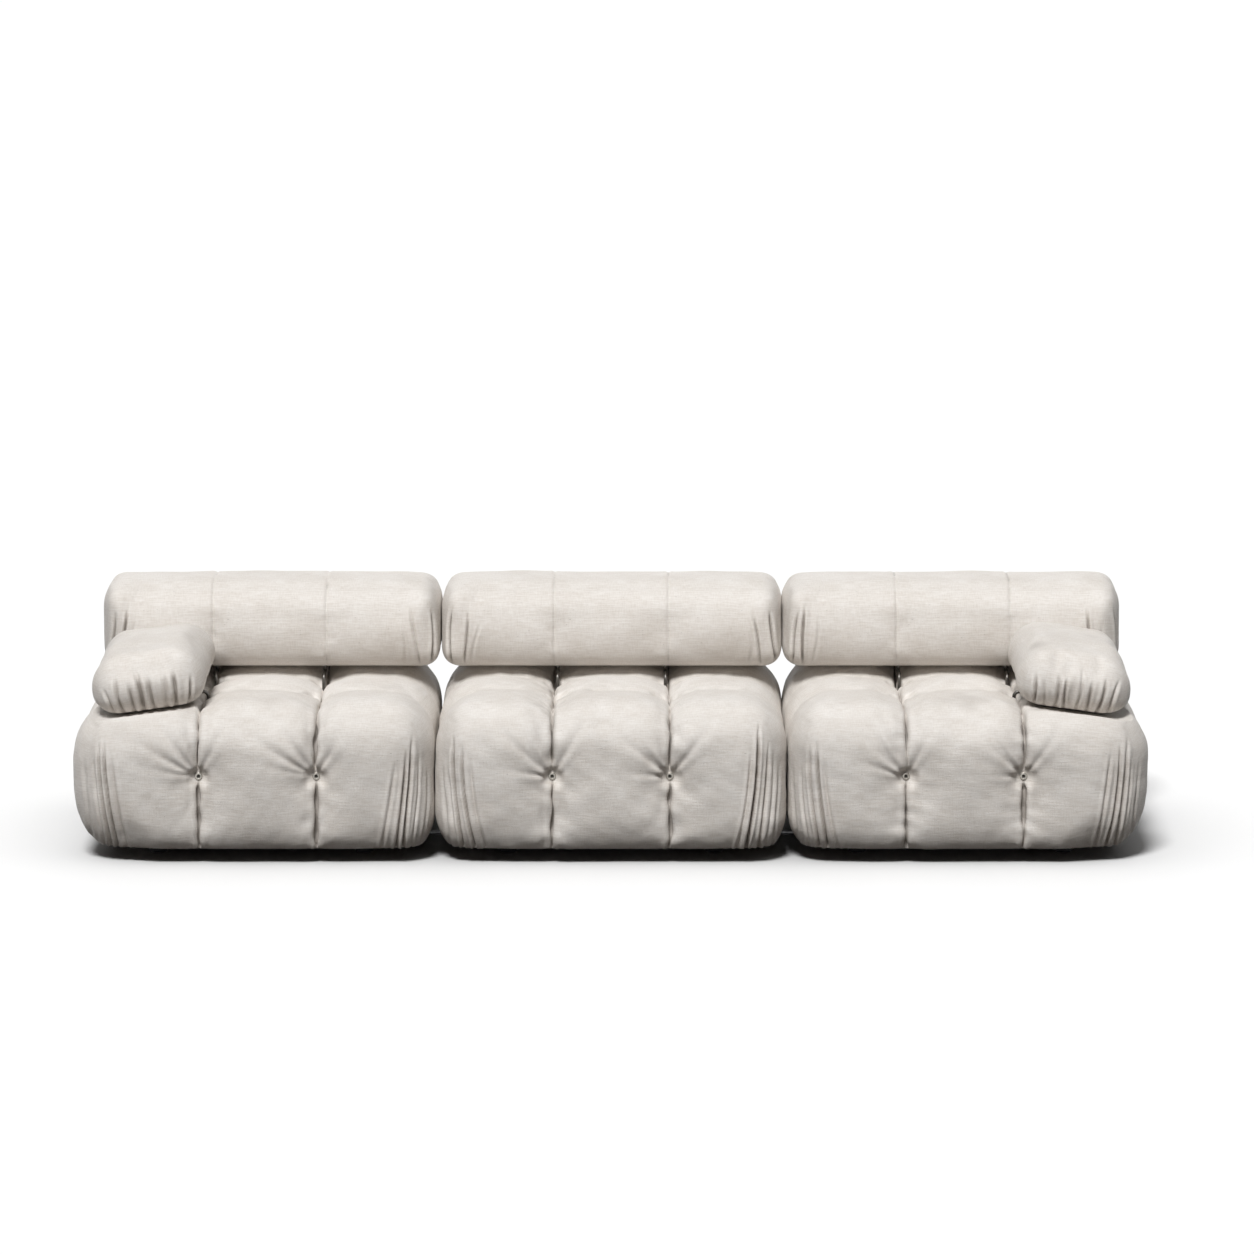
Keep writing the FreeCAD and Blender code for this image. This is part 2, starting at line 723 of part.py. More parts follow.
def face_places(module):
    """The eyelets of the front and rear faces, then those of the two sides, facing outwards."""
    places = []
    for end in SIGNS:
        facing = Rotation(Vector(0, 0, 1), Vector(0, end, 0))
        for side in SIGNS:
            x = f"{centre(module)} + {side} * column_pitch / 2"
            places.append((x, f"{end} * {FACE_SEAT}", "eyelet_height", facing))
    for side in SIGNS:
        facing = Rotation(Vector(0, 0, 1), Vector(side, 0, 0))
        x = f"{centre(module)} + {side} * {side_seat(module, side)}"
        for end in SIGNS:
            z = "eyelet_height - side_eyelet_drop"
            places.append((x, f"{end} * row_pitch / 2", z, facing))
    return places


def side_seat(module, side):
    """Expression for the bottom of a side channel, from the module's centre."""
    return f"( {SEAT_HALF} + {swell(module, side)} - side_groove_depth )"


# The seat module.


def seat_cover(module):
    """Quilted cover with its wadding: hollow for the foam and the board, open underneath."""
    shell = form(f"seat_form_{module}", seat_form(module))
    tools = []
    for side in SIGNS:
        for end in SIGNS:
            tools.append(side_groove(f"groove_{module}_{side}_{end}", module, side, end))
    tools.append(foam_room(module))
    x = centre(module)
    board_room = f"{FOAM_TOP} - {BOARD_BOTTOM}"
    tools.append(
        rounded_box(
            f"board_room_{module}",
            "board_corner",
            "board_side + 2 * fit_gap",
            f"{BOARD_DEPTH} + 2 * fit_gap",
            board_room,
            x,
            "0",
            BOARD_BOTTOM,
        )
    )
    tools.append(box(f"lap_{module}", "lap_opening", LAP_DEPTH, "seat_height / 2", x, "0", "0"))
    tools.extend(eyelet_rooms(module))
    tools.extend(socket_rooms(module))
    return cut(f"seat_cover_{module}", shell, [joined(f"cover_tools_{module}", tools)])


def side_groove(name, module, side, end):
    """A wedge that opens one upright channel in a side of the seat."""
    wedge = doc.addObject("Part::Wedge", name)
    wedge.Placement = Placement(Vector(), Rotation(Vector(0, 0, 1), 90 * side))
    bind(wedge, Xmin="0 - side_groove_width", Xmax="side_groove_width", X2min="0", X2max="0")
    bind(wedge, Zmin="0", Zmax="2 * seat_height", Z2min="0", Z2max="2 * seat_height")
    bind(wedge, Ymin="0", Ymax="2 * side_groove_depth")
    tip = f"{side_seat(module, side)} + 2 * side_groove_depth"
    return bind(wedge, x=f"{centre(module)} + {side} * ( {tip} )", y=f"{end} * row_pitch / 2", z="0")


def foam_room(module):
    """Hollow for the seat foam, with the fit gap round it."""
    return rounded_box(
        f"foam_room_{module}",
        "foam_corner",
        "foam_side + 2 * fit_gap",
        f"{FOAM_DEPTH} + 2 * fit_gap",
        f"{FOAM_TOP} + fit_gap - {BOARD_TOP}",
        centre(module),
        "0",
        BOARD_TOP,
    )


def eyelet_rooms(module):
    """A flat seat and a hole in the cover for each face eyelet."""
    seat = turned_body(
        f"eyelet_room_{module}",
        [
            ("0", f"0 - {WALL}"),
            ("eyelet_barrel_radius + hole_gap", f"0 - {WALL}"),
            ("eyelet_barrel_radius + hole_gap", "0"),
            ("eyelet_radius + hole_gap", "0"),
            ("eyelet_radius + hole_gap", "2 * column_pinch"),
            ("0", "2 * column_pinch"),
        ],
    )
    return [copies(f"eyelet_rooms_{module}", seat, face_places(module))]


def socket_rooms(module):
    """A flat seat and a hole in the cover for each tuft socket."""
    seat = turned_body(
        f"socket_room_{module}",
        [
            ("0", "0 - socket_barrel"),
            ("socket_barrel_radius + hole_gap", "0 - socket_barrel"),
            ("socket_barrel_radius + hole_gap", "0"),
            ("socket_radius + hole_gap", "0"),
            ("socket_radius + hole_gap", "2 * column_drop"),
            ("0", "2 * column_drop"),
        ],
    )
    places = square_places(module, SOCKET_X, SOCKET_Y, SOCKET_SEAT)
    return [copies(f"socket_rooms_{module}", seat, places)]


def seat_foam(module):
    """Foam block on the base board, with bores for the cords and the sockets."""
    block = rounded_box(
        f"foam_block_{module}",
        "foam_corner",
        "foam_side",
        FOAM_DEPTH,
        f"{FOAM_TOP} - {BOARD_TOP}",
        centre(module),
        "0",
        BOARD_TOP,
    )
    tools = [foam_bore(module)]
    for sign in SIGNS:
        tools.append(
            rod(
                f"foam_bore_y_{module}_{sign}",
                "pull_cord_radius + hole_gap",
                "seat_depth",
                "Y",
                f"{centre(module)} + {sign} * column_pitch / 2",
                "0 - seat_depth / 2",
                "eyelet_height",
            )
        )
        tools.append(
            rod(
                f"foam_bore_x_{module}_{sign}",
                "pull_cord_radius + hole_gap",
                "seat_depth",
                "X",
                f"{centre(module)} - seat_depth / 2",
                f"{sign} * row_pitch / 2",
                "eyelet_height - side_eyelet_drop",
            )
        )
    return cut(f"seat_foam_{module}", block, tools)


def foam_bore(module):
    """Stepped bores for the tuft cords and the socket barrels above them."""
    bore = turned_body(
        f"foam_bore_{module}",
        [
            ("0", "0"),
            ("tuft_cord_radius + hole_gap", "0"),
            ("tuft_cord_radius + hole_gap", f"{SOCKET_SEAT} - socket_barrel"),
            ("socket_barrel_radius + hole_gap", f"{SOCKET_SEAT} - socket_barrel"),
            ("socket_barrel_radius + hole_gap", "seat_height"),
            ("0", "seat_height"),
        ],
    )
    return copies(f"foam_bores_{module}", bore, square_places(module, SOCKET_X, SOCKET_Y, "0"))


def base_board(module):
    """Plywood board: bolt holes for the feet and stepped holes for the tuft cords."""
    blank = rounded_box(
        f"board_blank_{module}",
        "board_corner",
        "board_side",
        BOARD_DEPTH,
        "board_thickness",
        centre(module),
        "0",
        BOARD_BOTTOM,
    )
    cord_hole = turned_body(
        f"cord_hole_{module}",
        [
            ("0", "0"),
            ("toggle_radius + hole_gap", "0"),
            ("toggle_radius + hole_gap", f"{BOARD_BOTTOM} + toggle_height"),
            ("tuft_cord_radius + hole_gap", f"{BOARD_BOTTOM} + toggle_height"),
            ("tuft_cord_radius + hole_gap", "seat_height"),
            ("0", "seat_height"),
        ],
    )
    holes = copies(f"cord_holes_{module}", cord_hole, square_places(module, SOCKET_X, SOCKET_Y, "0"))
    return cut(f"base_board_{module}", blank, [holes, bolt_holes(f"board_bolts_{module}", module)])


def bolt_holes(name, module):
    """Four clearance holes for the foot bolts."""
    hole = rod(f"{name}_hole", "bolt_radius + hole_gap", "seat_height", "Z", "0", "0", "0")
    return copies(name, hole, square_places(module, "foot_inset", "foot_inset", "0"))


def dust_cloth(module):
    """Black cloth under the board, inside the opening of the cover."""
    width = "lap_opening - 2 * fit_gap"
    depth = f"{LAP_DEPTH} - 2 * fit_gap"
    sheet_block = box(
        f"cloth_blank_{module}", width, depth, "cloth_thickness", centre(module), "0", "foot_height"
    )
    return cut(f"dust_cloth_{module}", sheet_block, [bolt_holes(f"cloth_bolts_{module}", module)])


def pull_cords(module):
    """Cords through the foam that draw facing eyelets together, with a knot in each eyelet."""
    shoulder = "( eyelet_mouth_depth - eyelet_flange )"
    depth = f"( {FACE_SEAT} - {shoulder} )"
    cords = []
    for sign in SIGNS:
        x = f"{centre(module)} + {sign} * column_pitch / 2"
        name = f"pull_cord_y_{module}_{sign}"
        cords.append(knotted_cord(name, "Y", x, f"0 - {depth}", "eyelet_height", f"2 * {depth}"))
    left = f"( {side_seat(module, -1)} - {shoulder} )"
    right = f"( {side_seat(module, 1)} - {shoulder} )"
    for sign in SIGNS:
        y = f"{sign} * row_pitch / 2"
        z = "eyelet_height - side_eyelet_drop"
        name = f"pull_cord_x_{module}_{sign}"
        start = f"{centre(module)} - {left}"
        cords.append(knotted_cord(name, "X", start, y, z, f"{left} + {right}"))
    return group(f"pull_cords_{module}", cords)


def knotted_cord(name, axis, x, y, z, length):
    """A straight cord that starts at x, y, z, with a knot beyond each end."""
    start = {"X": x, "Y": y}[axis]
    ends = [f"{start} - knot_length", f"{start} + {length}"]
    pieces = [rod(f"{name}_run", "pull_cord_radius", length, axis, x, y, z)]
    for number, end in enumerate(ends):
        place = (end, y, z) if axis == "X" else (x, end, z)
        pieces.append(rod(f"{name}_knot_{number}", "knot_radius", "knot_length", axis, *place))
    return joined(name, pieces)


def bracket_places(module):
    """Two link brackets under each side of the module."""
    reach = "( bracket_reach - bracket_length / 2 )"
    return square_places(module, reach, "bracket_spacing / 2", "0")


def seat_module(module, masters):
    """Every piece of one seat module, from the floor up."""
    feet = square_places(module, "foot_inset", "foot_inset", "0")
    sockets = square_places(module, SOCKET_X, SOCKET_Y, SOCKET_SEAT)
    cords = square_places(module, SOCKET_X, SOCKET_Y, "0")
    sub_part(copies(f"feet_{module}", masters["foot"], feet), f"feet_{module}")
    sub_part(copies(f"foot_bolts_{module}", masters["bolt"], feet), f"foot_bolts_{module}")
    brackets = copies(f"link_brackets_{module}", masters["bracket"], bracket_places(module))
    sub_part(brackets, f"link_brackets_{module}")
    sub_part(dust_cloth(module), f"dust_cloth_{module}")
    sub_part(base_board(module), f"base_board_{module}")
    sub_part(seat_foam(module), f"seat_foam_{module}")
    sub_part(seat_cover(module), f"seat_cover_{module}")
    eyelets = copies(f"face_eyelets_{module}", masters["eyelet"], face_places(module))
    sub_part(eyelets, f"face_eyelets_{module}")
    sub_part(pull_cords(module), f"pull_cords_{module}")
    sub_part(copies(f"tuft_sockets_{module}", masters["socket"], sockets), f"tuft_sockets_{module}")
    sub_part(copies(f"tuft_cords_{module}", masters["tuft_cord"], cords), f"tuft_cords_{module}")


def link_pins(module, master):
    """Two pins from the middle module's brackets into those of one outer module."""
    sign = MODULES[module]
    along = Rotation(Vector(0, 0, 1), Vector(sign, 0, 0))
    start = f"{sign} * ( bracket_reach - bracket_length )"
    places = [(start, f"{end} * bracket_spacing / 2", "pin_height", along) for end in SIGNS]
    sub_part(copies(f"link_pins_{module}", master, places), f"link_pins_{module}")


# The back cushion.


def back_module(module):
    """Back cushion: cover, foam, the slat under the foam, and two hooks through the slat."""
    x = centre(module)
    y = "( back_front + back_depth / 2 )"
    foam_plan = ("back_foam_length", "back_foam_depth")
    room_plan = [f"{side} + 2 * fit_gap" for side in foam_plan]
    room_height = "back_foam_height + slat_thickness + fit_gap"
    corner = "back_foam_corner"
    foam = rounded_box(f"back_foam_{module}", corner, *foam_plan, "back_foam_height", x, y, SLAT_TOP)
    room = rounded_box(f"back_room_{module}", corner, *room_plan, room_height, x, y, SLAT_BOTTOM)
    blank = rounded_box(f"back_blank_{module}", corner, *foam_plan, "slat_thickness", x, y, SLAT_BOTTOM)
    riser_y = f"( {SOCKET_Y} + back_hook_run )"
    hooks = []
    holes = []
    for sign in SIGNS:
        riser_x = f"( {x} + {sign} * {SOCKET_X} )"
        name = f"back_hook_{module}_{sign}"
        place = (riser_x, riser_y)
        holes.append(rod(f"{name}_hole", "hook_radius + hole_gap", SLAT_TOP, "Z", *place, "0"))
        hooks.append(hook(name, "Y", -1, "back_hook_run", *place, SLAT_TOP, CUSHION_BOTTOM))
    shell = form(f"back_form_{module}", back_form(module))
    cover = cut(f"back_cover_{module}", shell, [joined(f"back_tools_{module}", [room] + holes)])
    sub_part(cover, f"back_cover_{module}")
    sub_part(foam, f"back_foam_{module}")
    sub_part(cut(f"back_slat_{module}", blank, holes), f"back_slat_{module}")
    sub_part(group(f"back_hooks_{module}", hooks), f"back_hooks_{module}")


# The arm cushion.


def arm_module(module):
    """Arm cushion: cover, foam, slat, and a hook that drops into the nearest tuft socket."""
    sign = MODULES[module]
    foam_plan = ("arm_foam_width", "arm_foam_length")
    room_plan = [f"{side} + 2 * fit_gap" for side in foam_plan]
    room_height = "arm_foam_height + slat_thickness + fit_gap"
    corner = "arm_foam_corner"
    on_slat = ("0", "0", "slat_lift + slat_thickness")
    at_slat = ("0", "0", "slat_lift")
    foam = rounded_box(f"arm_foam_upright_{module}", corner, *foam_plan, "arm_foam_height", *on_slat)
    room = rounded_box(f"arm_room_upright_{module}", corner, *room_plan, room_height, *at_slat)
    blank = rounded_box(f"arm_blank_{module}", corner, *foam_plan, "slat_thickness", *at_slat)
    riser = f"( {SOCKET_X} + arm_hook_run )"
    riser_x = f"( {centre(module)} + {sign} * {riser} )"
    riser_y = f"( 0 - {SOCKET_Y} )"
    rise = f"( arm_inset - {riser} ) * tan(arm_tilt * 1 deg)"
    top = f"( arm_level + slat_lift + slat_thickness / 2 + {rise} )"
    hole = rod(f"arm_hook_hole_{module}", "hook_radius + hole_gap", f"2 * {top}", "Z", riser_x, riser_y, "0")
    low_hole = rod(f"arm_hook_room_{module}", "hook_radius + hole_gap", top, "Z", riser_x, riser_y, "0")
    shell = form(f"arm_form_{module}", arm_form(module))
    leaning_room = leaning(f"arm_room_{module}", room, module)
    cover = cut(f"arm_cover_{module}", shell, [joined(f"arm_tools_{module}", [leaning_room, low_hole])])
    slat = cut(f"arm_slat_{module}", leaning(f"arm_slat_blank_{module}", blank, module), [hole])
    sub_part(cover, f"arm_cover_{module}")
    sub_part(leaning(f"arm_foam_{module}", foam, module), f"arm_foam_{module}")
    sub_part(slat, f"arm_slat_{module}")
    arm_hook = hook(f"arm_hook_{module}", "X", -sign, "arm_hook_run", riser_x, riser_y, top, "arm_level")
    sub_part(arm_hook, f"arm_hook_{module}")


def leaning(name, straight, module):
    """A piece of the arm, made upright at the origin, moved to the arm's place and lean."""
    link = doc.addObject("App::Link", f"{name}_link")
    link.LinkedObject = straight
    link.Placement = arm_placement(module)
    bind(link, x=arm_centre(module), y=ARM_Y, z="arm_level")
    link.setExpression("Placement.Rotation.Angle", cell("arm_tilt * 1 deg"))
    return group(name, [link])


# The cranked hooks.


def hook(name, axis, direction, run, riser_x, riser_y, top, underside):
    """A bent rod: down from the slat, level along a channel of the seat, down into a socket."""
    turned = {"X": Rotation(Vector(1, 0, 0), 90), "Y": Rotation(Vector(1, 1, 1), 120)}
    spine = doc.addObject("Sketcher::SketchObject", f"{name}_line")
    spine.Placement = Placement(Vector(), turned[axis])
    bind(spine, x=riser_x, y=riser_y)
    level = f"( {underside} - hook_sink )"
    draw_crank(spine, direction, f"{direction} * {run}", top, level, HOOK_TIP)
    ring = doc.addObject("Part::Circle", f"{name}_ring")
    bind(ring, Radius="hook_radius", x=riser_x, y=riser_y, z=top)
    doc.recompute()
    sweep = doc.addObject("Part::Sweep", name)
    sweep.Sections = [ring]
    sweep.Spine = (spine, [f"Edge{number}" for number in range(1, 6)])
    sweep.Solid = True
    sweep.Frenet = False
    return sweep


def draw_crank(sketch, direction, run, top, level, tip):
    """Riser, bend, level run, bend and drop, tangent to each other and bound to the sheet."""
    bend = size("hook_bend")
    x_end = worth(run)
    z_level = worth(level)
    turn_in = Vector(direction * bend, z_level + bend, 0)
    turn_out = Vector(x_end - direction * bend, z_level - bend, 0)
    riser = Part.LineSegment(Vector(0, worth(top), 0), Vector(0, z_level + bend, 0))
    level_run = Part.LineSegment(
        Vector(direction * bend, z_level, 0), Vector(x_end - direction * bend, z_level, 0)
    )
    drop = Part.LineSegment(Vector(x_end, z_level - bend, 0), Vector(x_end, worth(tip), 0))
    slant = bend * math.sqrt(0.5)
    first_bend = Part.Arc(
        Vector(0, z_level + bend, 0),
        turn_in + Vector(-direction * slant, -slant, 0),
        Vector(direction * bend, z_level, 0),
    )
    second_bend = Part.Arc(
        Vector(x_end - direction * bend, z_level, 0),
        turn_out + Vector(direction * slant, slant, 0),
        Vector(x_end, z_level - bend, 0),
    )
    for curve in (riser, first_bend, level_run, second_bend, drop):
        sketch.addGeometry(curve)
    hold_crank(sketch, run, top, level, tip)


def hold_crank(sketch, run, top, level, tip):
    """Constraints of the crank: its three straight runs, its two bends and their sizes."""
    sketch.addConstraint(Sketcher.Constraint("Tangent", 0, 2, 1, near_end(sketch, 1, 0, 2)))
    sketch.addConstraint(Sketcher.Constraint("Tangent", 2, 1, 1, near_end(sketch, 1, 2, 1)))
    sketch.addConstraint(Sketcher.Constraint("Tangent", 2, 2, 3, near_end(sketch, 3, 2, 2)))
    sketch.addConstraint(Sketcher.Constraint("Tangent", 4, 1, 3, near_end(sketch, 3, 4, 1)))
    sketch.addConstraint(Sketcher.Constraint("Vertical", 0))
    sketch.addConstraint(Sketcher.Constraint("Horizontal", 2))
    sketch.addConstraint(Sketcher.Constraint("Vertical", 4))
    hold_corner(sketch, 0, "DistanceX", -2, "0")
    hold_corner(sketch, 0, "DistanceY", -1, top)
    hold_corner(sketch, 2, "DistanceY", -1, level)
    hold_corner(sketch, 4, "DistanceX", -2, run)
    for arc in (1, 3):
        number = sketch.addConstraint(Sketcher.Constraint("Radius", arc, size("hook_bend")))
        sketch.setExpression(f"Constraints[{number}]", cell("hook_bend"))
    number = sketch.addConstraint(Sketcher.Constraint("DistanceY", -1, 1, 4, 2, worth(tip)))
    sketch.setExpression(f"Constraints[{number}]", cell(tip))


def near_end(sketch, arc, line, point):
    """Which end of an arc (1 or 2) lies at a line's point."""
    target = sketch.getPoint(line, point)
    return min((1, 2), key=lambda end: sketch.getPoint(arc, end).distanceToPoint(target))


# Checks and export.


def check_and_export():
    """Stops on any failed object or bad shape, then writes each piece to parts/."""
    doc.recompute()
    failed = [o.Name for o in doc.Objects if "Invalid" in o.State or "Error" in o.State]
    if failed:
        raise RuntimeError(f"these objects failed: {failed}")
    os.makedirs("parts", exist_ok=True)
    for piece in sub_parts:
        shape = piece.Shape
        if shape.isNull() or not shape.isValid() or not shape.Solids:
            raise RuntimeError(f"{piece.Label} has no valid solid")
        shape.exportStep(os.path.join("parts", f"{piece.Label}.step"))
        print(f"{piece.Label}: {len(shape.Solids)} solids, {shape.Volume / 1e6:.3f} litres")


fill_sheet()
add_derived_row()
MASTERS = make_masters()
for module_name in MODULES:
    seat_module(module_name, MASTERS)
    back_module(module_name)
for module_name in ("left", "right"):
    link_pins(module_name, MASTERS["pin"])
    arm_module(module_name)
check_and_export()
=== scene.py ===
"""Looks of the modular sofa: padded covers, finishes of the hardware, studio and camera.

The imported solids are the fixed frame. Every cushion is a closed lattice of points wrapped round a
rounded box, drawn in along its sewn channels, swollen by a cloth simulation and then creased. All sizes
are metres.
"""
from __future__ import annotations

import json
import logging
import math
from dataclasses import dataclass
from enum import Enum
from typing import Callable, Union

import bpy
import numpy as np
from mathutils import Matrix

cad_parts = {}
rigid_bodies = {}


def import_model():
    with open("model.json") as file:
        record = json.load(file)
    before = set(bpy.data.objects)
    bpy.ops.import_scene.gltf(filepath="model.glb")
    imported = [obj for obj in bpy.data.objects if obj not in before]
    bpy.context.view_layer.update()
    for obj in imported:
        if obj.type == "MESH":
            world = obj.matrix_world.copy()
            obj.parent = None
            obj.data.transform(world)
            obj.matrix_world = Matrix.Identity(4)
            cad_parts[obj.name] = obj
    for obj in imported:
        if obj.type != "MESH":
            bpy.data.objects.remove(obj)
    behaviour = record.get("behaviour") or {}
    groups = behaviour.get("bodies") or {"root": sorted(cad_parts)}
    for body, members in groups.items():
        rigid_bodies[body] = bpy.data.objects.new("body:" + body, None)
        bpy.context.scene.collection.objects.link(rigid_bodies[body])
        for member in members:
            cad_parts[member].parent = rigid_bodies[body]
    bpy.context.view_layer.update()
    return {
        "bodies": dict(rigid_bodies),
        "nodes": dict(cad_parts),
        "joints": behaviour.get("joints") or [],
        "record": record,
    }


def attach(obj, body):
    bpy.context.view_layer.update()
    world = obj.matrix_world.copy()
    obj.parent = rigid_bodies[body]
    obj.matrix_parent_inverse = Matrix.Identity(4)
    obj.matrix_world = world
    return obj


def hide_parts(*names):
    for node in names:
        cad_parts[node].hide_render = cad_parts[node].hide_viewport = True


LOG = logging.getLogger("sofa")
Array = np.ndarray
Span = tuple[float, float]
Triple = tuple[float, float, float]
Colour = Triple
Setting = Union[float, int, str, bool, tuple]
TINY = 1e-9
SEED_STEP = 7


class Module(Enum):
    """The three seat modules: name, centre along X, and which of the two sides are free."""

    LEFT = ("left", -0.950, True, False)
    MIDDLE = ("middle", 0.0, False, False)
    RIGHT = ("right", 0.950, False, True)

    @property
    def label(self) -> str:
        """Name used in the nodes and bodies."""
        return self.value[0]

    @property
    def centre(self) -> float:
        """Centre of the module along X."""
        return self.value[1]

    @property
    def free_left(self) -> bool:
        """True where nothing stands against the left side."""
        return self.value[2]

    @property
    def free_right(self) -> bool:
        """True where nothing stands against the right side."""
        return self.value[3]


class Hand(Enum):
    """The two ends of the sofa and their direction along X."""

    LEFT = ("left", -1.0)
    RIGHT = ("right", 1.0)

    @property
    def label(self) -> str:
        """Name used in the nodes and bodies."""
        return self.value[0]

    @property
    def sign(self) -> float:
        """Direction of the end along X."""
        return self.value[1]


# Curves and surfaces

def smooth(t: Array) -> Array:
    """Smooth step: 0 below 0, 1 above 1 and 3t^2 - 2t^3 between."""
    t = np.clip(t, 0.0, 1.0)
    return t * t * (3.0 - 2.0 * t)


def rise(value: Array, start: float, run: float) -> Array:
    """Smooth step that leaves 0 at start and reaches 1 a run later."""
    return smooth((value - start) / run)


def fall(value: Array, end: float, run: float) -> Array:
    """Smooth step that leaves 1 a run before end and reaches 0 there."""
    return smooth((end - value) / run)


def mix(low: Array | float, high: Array | float, share: Array) -> Array:
    """Straight blend from low to high."""
    return low + (high - low) * share


def bell(distance: Array, reach: Array | float) -> Array:
    """Bell curve exp(-(distance / reach)^2)."""
    return np.exp(-(distance / reach) ** 2)


def valley(distance: Array, reach: Array | float, power: float = 2.0) -> Array:
    """Inset of a sewn channel, 1 on its line and 0 beyond its reach.

    With s = 1 - |distance| / reach the inset is 1 - (1 - s^p)^(1/p), so the two sides meet in a crease.

    Args:
        distance: Distance from the channel's line.
        reach: Half of the channel's width.
        power: Fullness p of the two sides.

    Returns:
        Share of the channel's depth at each distance.
    """
    s = np.clip(1.0 - np.abs(distance) / reach, 0.0, 1.0)
    return 1.0 - (1.0 - s ** power) ** (1.0 / power)


class Ripple:
    """Smooth seeded unevenness, a sum of plane waves of random direction and phase."""

    def __init__(self, seed: int, longest: float, shortest: float, waves: int = 14) -> None:
        """Draw the waves.

        Args:
            seed: Seed of the random numbers.
            longest: Longest wavelength.
            shortest: Shortest wavelength.
            waves: Number of waves.
        """
        rng = np.random.default_rng(seed)
        direction = rng.normal(size=(waves, 3))
        direction /= np.linalg.norm(direction, axis=1)[:, None]
        length = shortest * (longest / shortest) ** rng.random(waves)
        self.wave = direction * (2.0 * np.pi / length)[:, None]
        self.phase = rng.random(waves) * 2.0 * np.pi
        self.weight = length / np.sqrt((length ** 2).sum() / 2.0)

    def at(self, points: Array) -> Array:
        """Sum over the waves of weight * sin(wave . point + phase)."""
        return np.sin(points @ self.wave.T + self.phase) @ self.weight


def spaced(stations: list[float], step: float) -> Array:
    """Lattice lines that pass through the stations, about a step apart between them."""
    runs = []
    for low, high in zip(stations[:-1], stations[1:]):
        count = max(1, round((high - low) / step))
        runs.append(np.linspace(low, high, count, endpoint=False))
    runs.append(np.array([stations[-1]]))
    return np.concatenate(runs)


class Lattice:
    """Outer points of a brick of lattice lines, its quads from outside and their cloth coordinates."""

    def __init__(self, xs: Array, ys: Array, zs: Array) -> None:
        """Number the outer points and join them.

        Args:
            xs: Lattice lines along X.
            ys: Lattice lines along Y.
            zs: Lattice lines along Z.
        """
        outer = np.ones((len(xs), len(ys), len(zs)), dtype=bool)
        outer[1:-1, 1:-1, 1:-1] = False
        index = np.full(outer.shape, -1)
        index[outer] = np.arange(outer.sum())
        ix, iy, iz = np.nonzero(outer)
        self.flat = np.column_stack([xs[ix], ys[iy], zs[iz]])
        sides = [
            (index[:, :, -1], False, (0, 1)), (index[:, :, 0], True, (0, 1)),
            (index[:, 0, :], False, (0, 2)), (index[:, -1, :], True, (0, 2)),
            (index[-1, :, :], False, (1, 2)), (index[0, :, :], True, (1, 2)),
        ]
        quads = []
        cloth = []
        for plane, turned, axes in sides:
            corners = [plane[:-1, :-1], plane[1:, :-1], plane[1:, 1:], plane[:-1, 1:]]
            if turned:
                corners.reverse()
            quad = np.stack([c.ravel() for c in corners], axis=1)
            quads.append(quad)
            cloth.append(self.flat[quad][:, :, list(axes)].reshape(-1, 2))
        self.quads = np.concatenate(quads)
        self.cloth = np.concatenate(cloth)


def wrap(flat: Array, low: Array, high: Array, low_round: Array, high_round: Array,
         power: float = 2.3) -> tuple[Array, Array]:
    """Wrap the points of a brick round a box with round edges.

    A point p goes to q + d / |d / r|_p, where q is p held inside the box less its rounds r, d = p - q
    and |.|_p is the p-norm. The normal is the gradient of that norm.

    Args:
        flat: Points on the brick, n by 3.
        low: Low corner of the box.
        high: High corner of the box.
        low_round: Rounds at the low faces, 3 or n by 3.
        high_round: Rounds at the high faces, 3 or n by 3.
        power: Power p of the norm.

    Returns:
        The wrapped points and their outward unit normals.
    """
    inner = np.minimum(np.maximum(flat, low + low_round), high - high_round)
    offset = flat - inner
    reach = np.where(offset < 0.0, low_round, high_round) * np.ones_like(flat)
    share = offset / reach
    norm = np.maximum((np.abs(share) ** power).sum(axis=1), TINY) ** (1.0 / power)
    share = share / norm[:, None]
    normal = np.sign(share) * np.abs(share) ** (power - 1.0) / reach
    normal /= np.maximum(np.linalg.norm(normal, axis=1), TINY)[:, None]
    return inner + share * reach, normal


@dataclass(frozen=True)
class Pleat:
    """One gathered fold on a face: a narrow groove with a raised lip on each side."""

    start: Span
    end: Span
    bow: float
    depth: float
    width: float
    lip: float
    fade: float
    run_out: float = 0.12
    lip_place: float = 2.1
    lip_width: float = 1.5
    far_lip: float = 0.8

    def relief(self, u: Array, v: Array) -> Array:
        """Height of the fold at (u, v) of its face.

        The path goes from start to end along v with a sideways bow * sin(pi t). The groove is a bell of
        the distance across, deepest at the end, and each lip is a wider bell beside it.

        Args:
            u: Coordinate across the fold.
            v: Coordinate along the fold.

        Returns:
            Height, negative in the groove.
        """
        t = (v - self.start[1]) / (self.end[1] - self.start[1])
        held = np.clip(t, 0.0, 1.0)
        path = mix(self.start[0], self.end[0], held) + self.bow * np.sin(np.pi * held)
        across = u - path
        strength = rise(t, 0.0, self.fade) * fall(t, 1.0 + self.run_out, self.run_out)
        groove = self.depth * bell(across, self.width)
        place = self.lip_place * self.width
        reach = self.lip_width * self.width
        near_lip = self.lip * bell(across + place, reach)
        far_lip = self.far_lip * self.lip * bell(across - place, reach)
        return strength * (near_lip + far_lip - groove)


